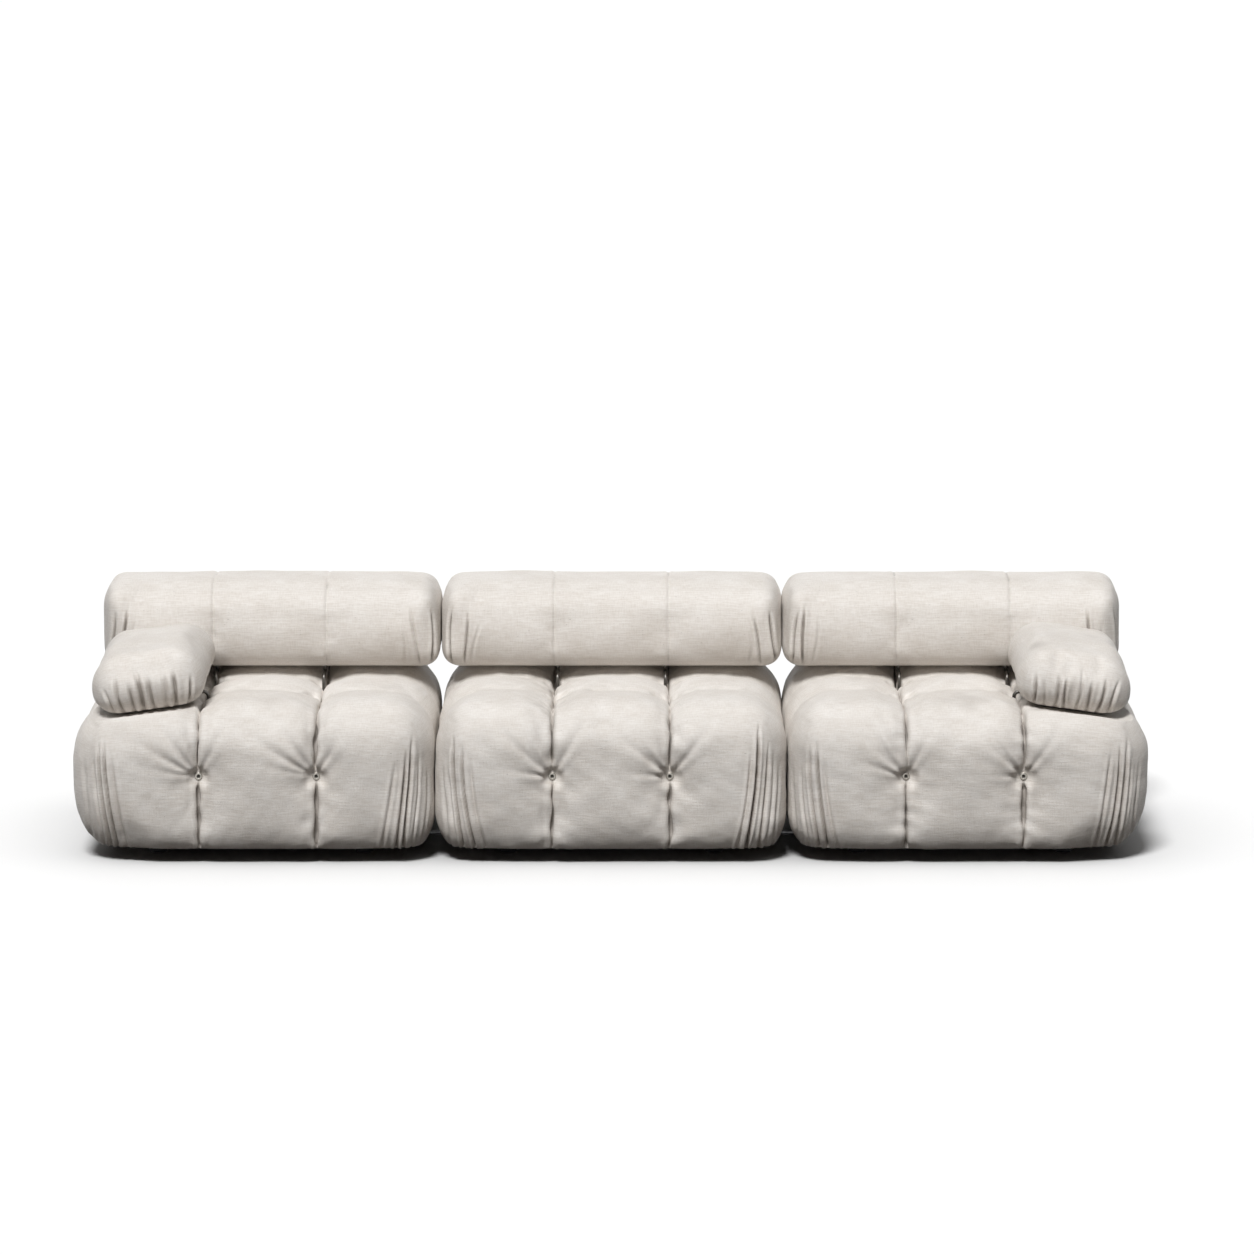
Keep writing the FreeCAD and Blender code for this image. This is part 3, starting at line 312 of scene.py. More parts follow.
@dataclass(frozen=True)
class Star:
    """Soft creases that radiate from a drawn-in point."""

    centre: Span
    angles: tuple[float, ...]
    lengths: tuple[float, ...]
    depth: float
    ahead: float = 3.0
    narrow: float = 0.003
    spread: float = 0.055
    ridge: Triple = (0.6, 2.2, 1.4)
    eye: Span = (0.008, 0.020)

    def relief(self, u: Array, v: Array) -> Array:
        """Height of the creases at (u, v).

        With radius r and the turn a from a crease's angle, each crease is a bell of r sin(a) whose width
        grows with r, between two low ridges, times exp(-r / length).

        Args:
            u: First coordinate of the face.
            v: Second coordinate of the face.

        Returns:
            Height, negative in the creases.
        """
        du = u - self.centre[0]
        dv = v - self.centre[1]
        radius = np.hypot(du, dv)
        bearing = np.arctan2(dv, du)
        width = self.narrow + self.spread * radius
        share, place, reach = self.ridge
        outside = rise(radius, *self.eye)
        total = np.zeros_like(radius)
        for angle, length in zip(self.angles, self.lengths):
            turn = bearing - angle
            across = radius * np.sin(turn)
            ahead = smooth(np.cos(turn) * self.ahead)
            shape = bell(across, width) - share * bell(np.abs(across) - place * width, reach * width)
            total -= self.depth * shape * ahead * np.exp(-radius / length) * outside
        return total


# Meshes and simulation

def make_mesh(name: str, points: Array, quads: Array, cloth: Array | None = None) -> bpy.types.Mesh:
    """Make a smooth mesh from arrays.

    Args:
        name: Name of the mesh.
        points: Points, n by 3.
        quads: Quads, m by 4.
        cloth: Cloth coordinates of every corner of every quad, kept as the UV map weave.

    Returns:
        The new mesh.
    """
    mesh = bpy.data.meshes.new(name)
    mesh.vertices.add(len(points))
    mesh.vertices.foreach_set("co", np.ascontiguousarray(points, dtype=np.float32).ravel())
    mesh.loops.add(quads.size)
    mesh.loops.foreach_set("vertex_index", np.ascontiguousarray(quads, dtype=np.int32).ravel())
    mesh.polygons.add(len(quads))
    mesh.polygons.foreach_set("loop_start", np.arange(0, quads.size, 4, dtype=np.int32))
    if cloth is not None:
        layer = mesh.uv_layers.new(name="weave")
        layer.data.foreach_set("uv", np.ascontiguousarray(cloth, dtype=np.float32).ravel())
    mesh.update(calc_edges=True)
    mesh.shade_smooth()
    return mesh


def read_vectors(rows: bpy.types.bpy_prop_collection, key: str) -> Array:
    """One vector of every row of a mesh's points, normals or attribute, as an n by 3 array."""
    values = np.empty(len(rows) * 3, dtype=np.float32)
    rows.foreach_get(key, values)
    return values.reshape(-1, 3).astype(float)


def place_object(name: str, mesh: bpy.types.Mesh) -> bpy.types.Object:
    """Put a mesh into the scene as a new object."""
    piece = bpy.data.objects.new(name, mesh)
    bpy.context.scene.collection.objects.link(piece)
    return piece


def drop_object(piece: bpy.types.Object) -> None:
    """Remove a helper object and its mesh."""
    mesh = piece.data
    bpy.data.objects.remove(piece)
    bpy.data.meshes.remove(mesh)


@dataclass(frozen=True)
class ClothPress:
    """Cloth simulation that swells a cover under pressure while its sewn lines stay put."""

    pressure: float
    slack: float
    cap: float
    frames: int = 20
    quality: int = 5
    mass: float = 0.2
    stiffness: float = 12.0
    shear: float = 4.0
    bending: float = 0.3
    pin_levels: int = 10
    calming: int = 3

    def run(self, points: Array, quads: Array, pins: Array) -> Array:
        """Simulate and return how far every point moved.

        Args:
            points: Points of the cover.
            quads: Quads of the cover.
            pins: Weight with which every point is held, 0 free and 1 fixed.
        """
        piece = place_object("cloth_trial", make_mesh("cloth_trial", points, quads))
        group = piece.vertex_groups.new(name="held")
        for level in range(1, self.pin_levels + 1):
            members = np.nonzero(np.round(pins * self.pin_levels) == level)[0]
            if len(members):
                group.add(members.tolist(), level / self.pin_levels, "REPLACE")
        modifier = piece.modifiers.new("cloth", "CLOTH")
        settings = modifier.settings
        settings.quality = self.quality
        settings.mass = self.mass
        settings.tension_stiffness = self.stiffness
        settings.compression_stiffness = self.stiffness
        settings.shear_stiffness = self.shear
        settings.bending_stiffness = self.bending
        settings.use_pressure = True
        settings.uniform_pressure_force = self.pressure
        settings.shrink_min = -self.slack
        settings.shrink_max = -self.slack
        settings.vertex_group_mass = "held"
        settings.effector_weights.gravity = 0.0
        modifier.collision_settings.use_collision = False
        modifier.point_cache.frame_start = 1
        modifier.point_cache.frame_end = self.frames
        scene = bpy.context.scene
        for frame in range(1, self.frames + 1):
            scene.frame_set(frame)
        graph = bpy.context.evaluated_depsgraph_get()
        moved = read_vectors(piece.evaluated_get(graph).data.vertices, "co") - points
        scene.frame_set(1)
        drop_object(piece)
        length = np.linalg.norm(moved, axis=1)
        scale = self.cap * np.tanh(length / self.cap) / np.maximum(length, TINY)
        moved = np.nan_to_num(moved * scale[:, None])
        shared = np.bincount(quads.ravel(), minlength=len(points))[:, None]
        for _ in range(self.calming):
            centre = moved[quads].mean(axis=1)
            total = np.zeros_like(moved)
            for corner in quads.T:
                np.add.at(total, corner, centre)
            moved = total / shared
        return moved


def refine_cover(name: str, lattice: Lattice, points: Array,
                 crease: Callable[[Array, Array, Array], tuple[Array, Array]]) -> bpy.types.Object:
    """Subdivide a cover once, crease it and make its object.

    Args:
        name: Name of the finished piece.
        lattice: Lattice with the quads and cloth coordinates.
        points: Points of the cover, in the order of the lattice.
        crease: Function of flat points, points and normals that returns the finished points and how deep
        each lies in a fold, kept as the attribute fold, which paints shade into the cloth's colour
        there.

    Returns:
        The finished object.
    """
    coarse = make_mesh(name + "_coarse", points, lattice.quads, lattice.cloth)
    flat_layer = coarse.attributes.new("flat", "FLOAT_VECTOR", "POINT")
    flat_layer.data.foreach_set("vector", lattice.flat.astype(np.float32).ravel())
    helper = place_object(name + "_coarse", coarse)
    rounder = helper.modifiers.new("rounder", "SUBSURF")
    rounder.levels = 1
    rounder.render_levels = 1
    rounder.uv_smooth = "NONE"
    graph = bpy.context.evaluated_depsgraph_get()
    fine = bpy.data.meshes.new_from_object(helper.evaluated_get(graph))
    drop_object(helper)
    fine.name = name
    flat = read_vectors(fine.attributes["flat"].data, "vector")
    swollen = read_vectors(fine.vertices, "co")
    done, depth = crease(flat, swollen, read_vectors(fine.vertex_normals, "vector"))
    fine.attributes.remove(fine.attributes["flat"])
    # Painted shade: how deep each point lies in a fold is kept here to darken the cloth's colour in its
    # folds.
    fold = fine.attributes.new("fold", "FLOAT", "POINT")
    fold.data.foreach_set("value", np.clip(depth, 0.0, 1.0).astype(np.float32))
    fine.vertices.foreach_set("co", done.astype(np.float32).ravel())
    fine.update()
    fine.shade_smooth()
    return place_object(name, fine)


# Shader graphs

class Wire:
    """An output socket that can be used in sums and products."""

    def __init__(self, graph: "ShaderGraph", socket: bpy.types.NodeSocket) -> None:
        """Keep the graph and the socket."""
        self.graph = graph
        self.socket = socket

    def _math(self, operation: str, *values: "Wire | float") -> "Wire":
        """Add one Math node."""
        return self.graph.node("ShaderNodeMath", {"operation": operation}, dict(enumerate(values)))

    def __add__(self, other: "Wire | float") -> "Wire":
        """Sum."""
        return self._math("ADD", self, other)

    __radd__ = __add__

    def __mul__(self, other: "Wire | float") -> "Wire":
        """Product."""
        return self._math("MULTIPLY", self, other)

    __rmul__ = __mul__

    def high(self, other: "Wire | float") -> "Wire":
        """The larger of two values."""
        return self._math("MAXIMUM", self, other)

    def sine(self) -> "Wire":
        """Sine."""
        return self._math("SINE", self)

    def ramp(self, low: float, high: float) -> "Wire":
        """Smooth step from 0 at low to 1 at high."""
        return self.graph.node("ShaderNodeMapRange", {"interpolation_type": "SMOOTHSTEP"},
                               {"Value": self, "From Min": low, "From Max": high})


class ShaderGraph:
    """The nodes of one material or world."""

    def __init__(self, tree: bpy.types.NodeTree) -> None:
        """Clear a node tree and work on it."""
        self.tree = tree
        tree.nodes.clear()

    def add(self, kind: str, settings: dict[str, Setting], inputs: dict) -> bpy.types.Node:
        """Add a node, set its settings and then its sockets.

        Args:
            kind: Node type.
            settings: Attributes of the node.
            inputs: Socket name or number, with a wire or a value.

        Returns:
            The node.
        """
        node = self.tree.nodes.new(kind)
        for key, value in settings.items():
            setattr(node, key, value)
        for key, value in inputs.items():
            if isinstance(value, Wire):
                self.tree.links.new(value.socket, node.inputs[key])
            else:
                node.inputs[key].default_value = value
        return node

    def node(self, kind: str, settings: dict[str, Setting], inputs: dict, output: int | str = 0) -> Wire:
        """Add a node and return one of its outputs."""
        return Wire(self, self.add(kind, settings, inputs).outputs[output])

    def weave_place(self) -> Wire:
        """Cloth coordinates of a cover, in metres."""
        return self.node("ShaderNodeUVMap", {"uv_map": "weave"}, {})

    def place(self) -> Wire:
        """Object coordinates, in metres."""
        return self.node("ShaderNodeTexCoord", {}, {}, "Object")

    def stretch(self, place: Wire, scale: Triple) -> Wire:
        """Coordinates multiplied by a scale along each axis."""
        return self.node("ShaderNodeVectorMath", {"operation": "MULTIPLY"}, {0: place, 1: scale})

    def noise(self, place: Wire, scale: float, detail: float, rough: float) -> Wire:
        """Value of a noise texture."""
        sockets = {"Vector": place, "Scale": scale, "Detail": detail, "Roughness": rough}
        return self.node("ShaderNodeTexNoise", {}, sockets, "Fac")

    def streaks(self, place: Wire, lines: Triple, detail: float, rough: float) -> Wire:
        """Value of a noise texture with so many marks per metre along each axis."""
        return self.noise(self.stretch(place, lines), 1.0, detail, rough)

    def axis(self, place: Wire, name: str) -> Wire:
        """One coordinate."""
        return self.node("ShaderNodeSeparateXYZ", {}, {0: place}, name)

    def blend(self, share: Wire | float, low: Wire | Colour, high: Wire | Colour) -> Wire:
        """Blend of two colours."""
        first = low if isinstance(low, Wire) else (*low, 1.0)
        second = high if isinstance(high, Wire) else (*high, 1.0)
        node = self.add("ShaderNodeMix", {"data_type": "RGBA"}, {"Factor": share, 6: first, 7: second})
        return Wire(self, node.outputs[2])

    def bump(self, height: Wire, distance: float, strength: float) -> Wire:
        """Normal of a bump map."""
        sockets = {"Height": height, "Distance": distance, "Strength": strength}
        return self.node("ShaderNodeBump", {}, sockets)

    def surface(self, inputs: dict) -> None:
        """Close the graph with a Principled shader."""
        shader = self.node("ShaderNodeBsdfPrincipled", {}, inputs)
        self.add("ShaderNodeOutputMaterial", {}, {"Surface": shader})


def new_material(name: str) -> tuple[bpy.types.Material, ShaderGraph]:
    """New material with its empty graph."""
    material = bpy.data.materials.new(name)
    material.use_nodes = True
    return material, ShaderGraph(material.node_tree)


@dataclass(frozen=True)
class CoverCloth:
    """Slubby woven cover cloth: uneven threads, short dark flecks, soft sheen, and painted shade in its
    folds.
    """

    base: Colour = (0.815, 0.789, 0.758)
    shade: Colour = (0.545, 0.490, 0.432)
    fleck: Colour = (0.260, 0.230, 0.205)
    # Colour of the painted shade in the folds.
    depth: Colour = (0.200, 0.170, 0.145)
    thread: float = 0.0030
    slub_lines: Triple = (26.0, 230.0, 1.0)
    warp_lines: Triple = (300.0, 45.0, 1.0)
    fleck_lines: Triple = (110.0, 330.0, 1.0)
    patch_scale: float = 7.0
    fleck_share: float = 0.55
    # Share by which the painted shade darkens the cloth in its folds.
    painted_fold_shade_share: float = 0.72
    relief: float = 0.0016

    def build(self) -> bpy.types.Material:
        """Make the material."""
        material, graph = new_material("cover_cloth")
        place = graph.weave_place()
        slub = graph.streaks(place, self.slub_lines, 3.0, 0.65)
        warp = graph.streaks(place, self.warp_lines, 2.0, 0.5)
        patch = graph.noise(place, self.patch_scale, 4.0, 0.6)
        fleck = graph.streaks(place, self.fleck_lines, 1.0, 0.4).ramp(0.70, 0.80)
        u = graph.axis(place, "X")
        v = graph.axis(place, "Y")
        turn = 2.0 * math.pi / self.thread
        weave = (u * turn + warp * 3.0).sine() * (v * turn + slub * 5.0).sine()
        tone = slub.ramp(0.34, 0.66) * 0.30 + warp.ramp(0.3, 0.7) * 0.16
        tone = tone + patch.ramp(0.3, 0.7) * 0.24 + 0.15
        ground = graph.blend(tone, self.shade, self.base)
        # Painted shade: the cloth's colour darkens towards the colour depth where the attribute fold
        # says a point lies deep in a fold.
        fold = graph.node("ShaderNodeAttribute", {"attribute_name": "fold"}, {}, "Fac")
        colour = graph.blend(fleck * self.fleck_share, ground, self.fleck)
        colour = graph.blend(fold * self.painted_fold_shade_share, colour, self.depth)
        height = weave * 0.25 + slub * 0.9 + warp * 0.4
        graph.surface({
            "Base Color": colour,
            "Roughness": 0.42 + slub * 0.2,
            "Sheen Weight": 0.05,
            "Sheen Roughness": 0.5,
            "Specular IOR Level": 0.8,
            "Normal": graph.bump(height, self.relief, 0.6),
        })
        return material


@dataclass(frozen=True)
class Metal:
    """Turned or drawn metal with fine marks."""

    name: str
    base: Colour
    dull: Colour
    rough: float
    marks: Triple = (900.0, 900.0, 60.0)
    haze_scale: float = 60.0
    relief: float = 0.0002

    def build(self) -> bpy.types.Material:
        """Make the material."""
        material, graph = new_material(self.name)
        place = graph.place()
        marks = graph.streaks(place, self.marks, 3.0, 0.6)
        haze = graph.noise(place, self.haze_scale, 3.0, 0.6)
        graph.surface({
            "Base Color": graph.blend(haze.ramp(0.35, 0.75), self.base, self.dull),
            "Metallic": 1.0,
            "Roughness": self.rough + haze * 0.12 + marks * 0.08,
            "Normal": graph.bump(marks, self.relief, 0.4),
        })
        return material


@dataclass(frozen=True)
class Moulded:
    """Moulded plastic with a fine eroded grain."""

    name: str
    base: Colour
    worn: Colour
    grain_scale: float = 900.0
    cloud_scale: float = 25.0
    relief: float = 0.0003

    def build(self) -> bpy.types.Material:
        """Make the material."""
        material, graph = new_material(self.name)
        place = graph.place()
        grain = graph.noise(place, self.grain_scale, 2.0, 0.6)
        cloud = graph.noise(place, self.cloud_scale, 3.0, 0.5)
        graph.surface({
            "Base Color": graph.blend(cloud.ramp(0.4, 0.8), self.base, self.worn),
            "Roughness": 0.45 + grain * 0.2,
            "Normal": graph.bump(grain, self.relief, 0.5),
        })
        return material


@dataclass(frozen=True)
class Plywood:
    """Plywood: long grain on the faces and darker glue lines through the edges."""

    name: str = "plywood"
    early: Colour = (0.560, 0.390, 0.230)
    late: Colour = (0.400, 0.250, 0.130)
    glue: Colour = (0.230, 0.140, 0.080)
    ply: float = 0.003
    band_lines: Triple = (2.0, 14.0, 14.0)
    grain_lines: Triple = (6.0, 160.0, 160.0)
    bands: float = 60.0
    relief: float = 0.0004

    def build(self) -> bpy.types.Material:
        """Make the material."""
        material, graph = new_material(self.name)
        place = graph.place()
        warped = graph.streaks(place, self.band_lines, 3.0, 0.6)
        grain = graph.streaks(place, self.grain_lines, 4.0, 0.65)
        bands = (warped * self.bands).sine()
        plies = (graph.axis(place, "Z") * (2.0 * math.pi / self.ply)).sine()
        ground = graph.blend(bands.ramp(-0.6, 1.0) * 0.5 + grain * 0.5, self.early, self.late)
        graph.surface({
            "Base Color": graph.blend(plies.ramp(0.75, 1.0) * 0.4, ground, self.glue),
            "Roughness": 0.55 + grain * 0.25,
            "Normal": graph.bump(grain, self.relief, 0.5),
        })
        return material


@dataclass(frozen=True)
class Fibre:
    """Plain fibre stuff: felted cloth or twisted cord."""

    name: str
    base: Colour
    shade: Colour
    scale: Triple
    cloud_scale: float = 0.08
    relief: float = 0.0006

    def build(self) -> bpy.types.Material:
        """Make the material."""
        material, graph = new_material(self.name)
        place = graph.stretch(graph.place(), self.scale)
        fine = graph.noise(place, 1.0, 3.0, 0.7)
        cloud = graph.noise(place, self.cloud_scale, 2.0, 0.5)
        tone = fine.ramp(0.35, 0.65) * 0.7 + cloud * 0.3
        graph.surface({
            "Base Color": graph.blend(tone, self.shade, self.base),
            "Roughness": 0.82 + fine * 0.15,
            "Normal": graph.bump(fine, self.relief, 0.7),
        })
        return material


# Padded pieces

def dress_cover(piece: bpy.types.Object, cloth: bpy.types.Material, body: str, *nodes: str) -> None:
    """Args:
        piece: The cover.
        cloth: Its material.
        body: Body that carries it.
        nodes: Solids that it stands for.
    """
    piece.data.materials.clear()
    piece.data.materials.append(cloth)
    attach(piece, body)
    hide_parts(*nodes)
    LOG.info("%s: %d points", piece.name, len(piece.data.vertices))


class Cushion:
    """What every kind of cushion shares: one cloth run for all of the kind, then folds and cloth."""

    kind: str
    first_seed: int
    press: ClothPress
    swelling: Array | None = None

    def swell(self, lattice: Lattice, plain: Array, pins: Array) -> Array:
        """Movement of the cover under pressure, from the first cushion of the kind.

        Args:
            lattice: Lattice of the cover.
            plain: Points of the plain cover.
            pins: Weight with which every point is held.

        Returns:
            Movement of every point.
        """
        owner = type(self)
        if owner.swelling is None:
            owner.swelling = self.press.run(plain, lattice.quads, pins)
        return owner.swelling

    def crease(self, flat: Array, points: Array, normals: Array) -> tuple[Array, Array]:
        """Fold the subdivided cover and put it in place.

        Args:
            flat: Points on the brick.
            points: Points of the cover.
            normals: Their normals.

        Returns:
            Finished points in place, and how deep each lies in a fold, which paints shade into the
            cloth's colour.
        """
        raise NotImplementedError

    def finish(self, label: str, lattice: Lattice, points: Array, cloth: bpy.types.Material) -> None:
        """Make the piece from the swollen cover.

        Args:
            label: Name of the module or hand.
            lattice: Lattice of the cover.
            points: Points of the cover.
            cloth: Material of the cover.
        """
        piece = refine_cover(f"{self.kind}_cushion_{label}", lattice, points, self.crease)
        nodes = (f"{self.kind}_cover_{label}", f"{self.kind}_foam_{label}")
        dress_cover(piece, cloth, f"{label}_{self.kind}", *nodes)


@dataclass(frozen=True)
class SeatSizes:
    """Sizes of a seat cushion."""

    half_width: float = 0.473
    half_depth: float = 0.480
    swell: float = 0.028
    hem: float = 0.040
    below_hem: float = 0.030
    top: float = 0.428
    opening: float = 0.335
    opening_rise: float = 0.0068
    channel: float = 0.158
    channel_reach: float = 0.090
    column_drop: float = 0.044
    row_drop: float = 0.028
    row_seen: Span = (0.010, 0.028)
    face_draw: float = 0.030
    side_draw: float = 0.022
    socket: float = 0.150
    socket_dish: float = 0.018
    eyelet_height: float = 0.238
    side_eyelet_height: float = 0.218
    eyelet_dish: float = 0.0125
    step: float = 0.0088
    step_deep: float = 0.0125
    gathered: float = 0.310
    step_gathered: float = 0.0046
    close_lines: Span = (0.0024, 0.0080)
    face_reach: float = 0.060
    row_reach: Triple = (0.064, 0.130, 0.070)
    slit_depth: float = 0.012
    slit_width: float = 0.0018
    rear_fill: Span = (0.250, 0.330)
    side_round: float = 0.122
    free_round: Span = (0.180, 0.170)
    front_round: float = 0.125
    top_round: float = 0.122
    top_round_side: Span = (0.014, 0.045)
    low_round: float = 0.085
    low_round_side: Span = (0.045, 0.115)
    upper_part: Span = (0.16, 0.14)
    side_part: Span = (0.25, 0.15)
    opening_edge: float = 0.008
    hem_part: float = 0.06
    pinch_above: float = 0.01
    pinch_reach: float = 0.075
    face_plain: float = 0.020
    face_pinched: float = 0.028
    rear_filled: float = 0.85
    side_slack: float = 0.003
    dish_soft: Triple = (0.024, 0.022, 0.022)
    dish_gap: float = 0.0005
    facing_eyelet: Span = (0.7, 0.2)
    facing_socket: Span = (0.5, 0.3)


@dataclass(frozen=True)
class SeatHolds:
    """Where, and how far around, the cloth run holds a seat's cover."""

    line: float = 0.012
    row_share: float = 0.8
    hem: float = 0.03
    eyelet: float = 0.03
    socket: float = 0.034
    face: float = 0.42
    top: float = 0.3
    side: float = 0.02
    side_share: float = 0.9


@dataclass(frozen=True)
class SeatFolds:
    """Folds of a seat's cover: pleats by its sides, fans round its eyelets, slits and unevenness."""

    pleats: tuple[Span, ...] = ((0.012, 0.35), (0.040, 0.35), (0.060, 1.2), (0.080, 1.6), (0.112, 0.55))
    strength: Span = (0.8, 1.25)
    shift: Span = (-0.008, 0.008)
    free_out: float = 0.004
    pressed_out: float = -0.006
    head_spread: float = 0.80
    foot_in: float = 0.020
    foot_down: float = 0.01
    height: Span = (0.265, 0.320)
    height_more: float = 0.04
    bow: Span = (0.002, 0.012)
    depth: Span = (0.009, 0.012)
    width: Span = (0.0028, 0.0044)
    lip: float = 0.0015
    lip_more: Span = (0.002, 0.003)
    fade: float = 0.34
    fan_angles: tuple[float, ...] = (58.0, 104.0, 122.0, 143.0, 166.0)
    fan_turn: Span = (-8.0, 8.0)
    fan_length: Span = (0.055, 0.100)
    fan_shares: tuple[float, ...] = (1.0, 1.2, 1.2, 1.1, 0.6)
    fan_depth: float = 0.0066
    face: Span = (0.12, 0.3)
    calm_eyelet: Span = (0.014, 0.02)
    calm_socket: Span = (0.02, 0.02)
    calm_face: float = 0.4
    calm_top: float = 0.3
    slit_ridge: Triple = (0.25, 0.012, 0.007)
    slit_top: float = 0.6
    slit_end: float = 0.22
    top: Span = (0.3, 0.4)
    fine: float = 0.0012
    fine_waves: Span = (0.12, 0.03)
    fine_plain: float = 0.4
    fine_edge: float = 0.040
    broad: float = 0.0016
    broad_waves: Span = (0.4, 0.14)
    wander: float = 0.0013
    wander_waves: Span = (0.11, 0.04)
    wander_reach: float = 0.045
    hem_clear: float = 0.002
    shaded: Span = (0.002, 0.009)


class SeatCushion(Cushion):
    """One seat module's quilted cover."""

    kind = "seat"
    first_seed = 11
    press = ClothPress(pressure=4.0, slack=0.015, cap=0.016)
    sizes = SeatSizes()
    holds = SeatHolds()
    folds = SeatFolds()

    def __init__(self, module: Module) -> None:
        """Keep the module and its seed."""
        self.module = module
        self.seed = self.first_seed + SEED_STEP * list(Module).index(module)

    def lattice(self) -> Lattice:
        """Lattice with lines on every channel."""
        s = self.sizes
        near, far = s.close_lines
        sewn = [s.channel - far, s.channel - near, s.channel, s.channel + near, s.channel + far]
        half = spaced([0.0, *sewn, s.gathered], s.step)
        outer = spaced([s.gathered, s.half_width], s.step_gathered)
        half = np.concatenate([half, outer[1:]])
        across = np.concatenate([-half[:0:-1], half])
        deep = spaced([-s.half_depth, -s.channel, s.channel, s.half_depth], s.step_deep)
        up = spaced([s.hem - s.below_hem, s.eyelet_height, s.top], s.step)
        return Lattice(across, deep, up)

    def rounds(self, flat: Array, free_left: bool, free_right: bool) -> tuple[Array, Array]:
        """Rounds of the low and high faces at every point.

        Free sides are fuller than the sides pressed against a neighbour.

        Args:
            flat: Points on the brick.
            free_left: Whether the left side is free.
            free_right: Whether the right side is free.

        Returns:
            Rounds at the low and at the high faces, n by 3 each.
        """
        s = self.sizes
        free = np.where(flat[:, 0] < 0.0, free_left, free_right)
        upper = rise(flat[:, 2], *s.upper_part)
        near_side = rise(np.abs(flat[:, 0]), *s.side_part)
        round_x = np.where(free, mix(*s.free_round, upper), s.side_round)
        round_y = np.full_like(round_x, s.front_round)
        round_top = s.top_round + np.where(free, s.top_round_side[1], s.top_round_side[0]) * near_side
        round_low = s.low_round + np.where(free, s.low_round_side[1], s.low_round_side[0]) * near_side
        return (np.column_stack([round_x, round_y, round_low]),
                np.column_stack([round_x, round_y, round_top]))

    def form(self, lattice: Lattice, free_left: bool, free_right: bool) -> Array:
        """Wrapped cover with its channels drawn in.

        Args:
            lattice: Lattice of the cover.
            free_left: Whether the left side is free.
            free_right: Whether the right side is free.

        Returns:
            Points of the cover, about its own centre.
        """
        s = self.sizes
        flat = lattice.flat.copy()
        left = s.half_width + (s.swell if free_left else 0.0)
        right = s.half_width + (s.swell if free_right else 0.0)
        outer = np.abs(flat[:, 0]) > s.channel
        grow_left = (left - s.channel) / (s.half_width - s.channel)
        grow_right = (right - s.channel) / (s.half_width - s.channel)
        grow = np.where(flat[:, 0] < 0.0, grow_left, grow_right)
        beyond = np.sign(flat[:, 0]) * (s.channel + (np.abs(flat[:, 0]) - s.channel) * grow)
        flat[:, 0] = np.where(outer, beyond, flat[:, 0])
        low = np.array([-left, -s.half_depth, s.hem - s.below_hem])
        high = np.array([right, s.half_depth, s.top])
        low_round, high_round = self.rounds(flat, free_left, free_right)
        points, normal = wrap(flat, low, high, low_round, high_round)
        inset = self.inset(points, normal)
        points = points - normal * inset[:, None]
        inside = np.maximum(np.abs(flat[:, 0]), np.abs(flat[:, 1]))
        under = lattice.flat[:, 2] <= s.hem - s.below_hem + TINY
        open_part = fall(inside, s.opening + s.opening_edge, 2.0 * s.opening_edge)
        floor = s.hem + s.opening_rise * open_part * under
        points[:, 2] = np.maximum(points[:, 2], floor)
        return points

    def fixing_reach(self, points: Array) -> tuple[Array, Array, Array]:
        """Distances from the nearest front or rear eyelet, side eyelet and socket, seen square on."""
        s = self.sizes
        x, y, z = np.abs(points.T)
        eyelet = np.hypot(x - s.channel, z - s.eyelet_height)
        side_eyelet = np.hypot(y - s.channel, z - s.side_eyelet_height)
        return eyelet, side_eyelet, np.hypot(x - s.socket, y - s.socket)

    def inset(self, points: Array, normal: Array) -> Array:
        """Depth by which channels, eyelets and sockets draw the cover in.

        Args:
            points: Wrapped points.
            normal: Their normals.

        Returns:
            Depth at every point.
        """
        s = self.sizes
        x, y, z = points.T
        up = np.clip(normal[:, 2], 0.0, 1.0)
        front = np.abs(normal[:, 1])
        side = np.abs(normal[:, 0])
        off_column = np.abs(x) - s.channel
        column = valley(off_column, s.channel_reach)
        off_row = np.abs(y) - s.channel
        front_reach, inner_reach, rear_reach = s.row_reach
        row_reach = np.where(y < 0.0, front_reach, np.where(off_row < 0.0, inner_reach, rear_reach))
        row = mix(valley(off_row, s.channel_reach), bell(off_row, row_reach), up)
        row_seen = np.where(y < 0.0, s.row_seen[0], s.row_seen[1])
        level = smooth((z - s.hem + s.hem_part) / (2.0 * s.hem_part))
        pinch = bell(z - s.eyelet_height - s.pinch_above, s.pinch_reach)
        face = mix(s.face_plain * valley(off_column, s.face_reach), s.face_pinched * column, pinch)
        start, stop = s.rear_fill
        fill = 1.0 - s.rear_filled * rise(y, start, stop - start)
        depth = s.column_drop * column * up * fill + face * front * level
        depth += row * (row_seen * up + (s.side_draw - s.side_slack) * side * level)
        eyelet, side_eyelet, socket = self.fixing_reach(points)
        places = (
            (eyelet, s.eyelet_dish, rise(front, *s.facing_eyelet), s.face_draw),
            (side_eyelet, s.eyelet_dish, rise(side, *s.facing_eyelet), s.side_draw),
            (socket, s.socket_dish, rise(up, *s.facing_socket), s.column_drop + s.row_drop),
        )
        for (reach, dish, facing, drawn), soft in zip(places, s.dish_soft):
            depth = mix(depth, drawn + s.dish_gap, fall(reach, dish + soft, soft) * facing)
        return depth

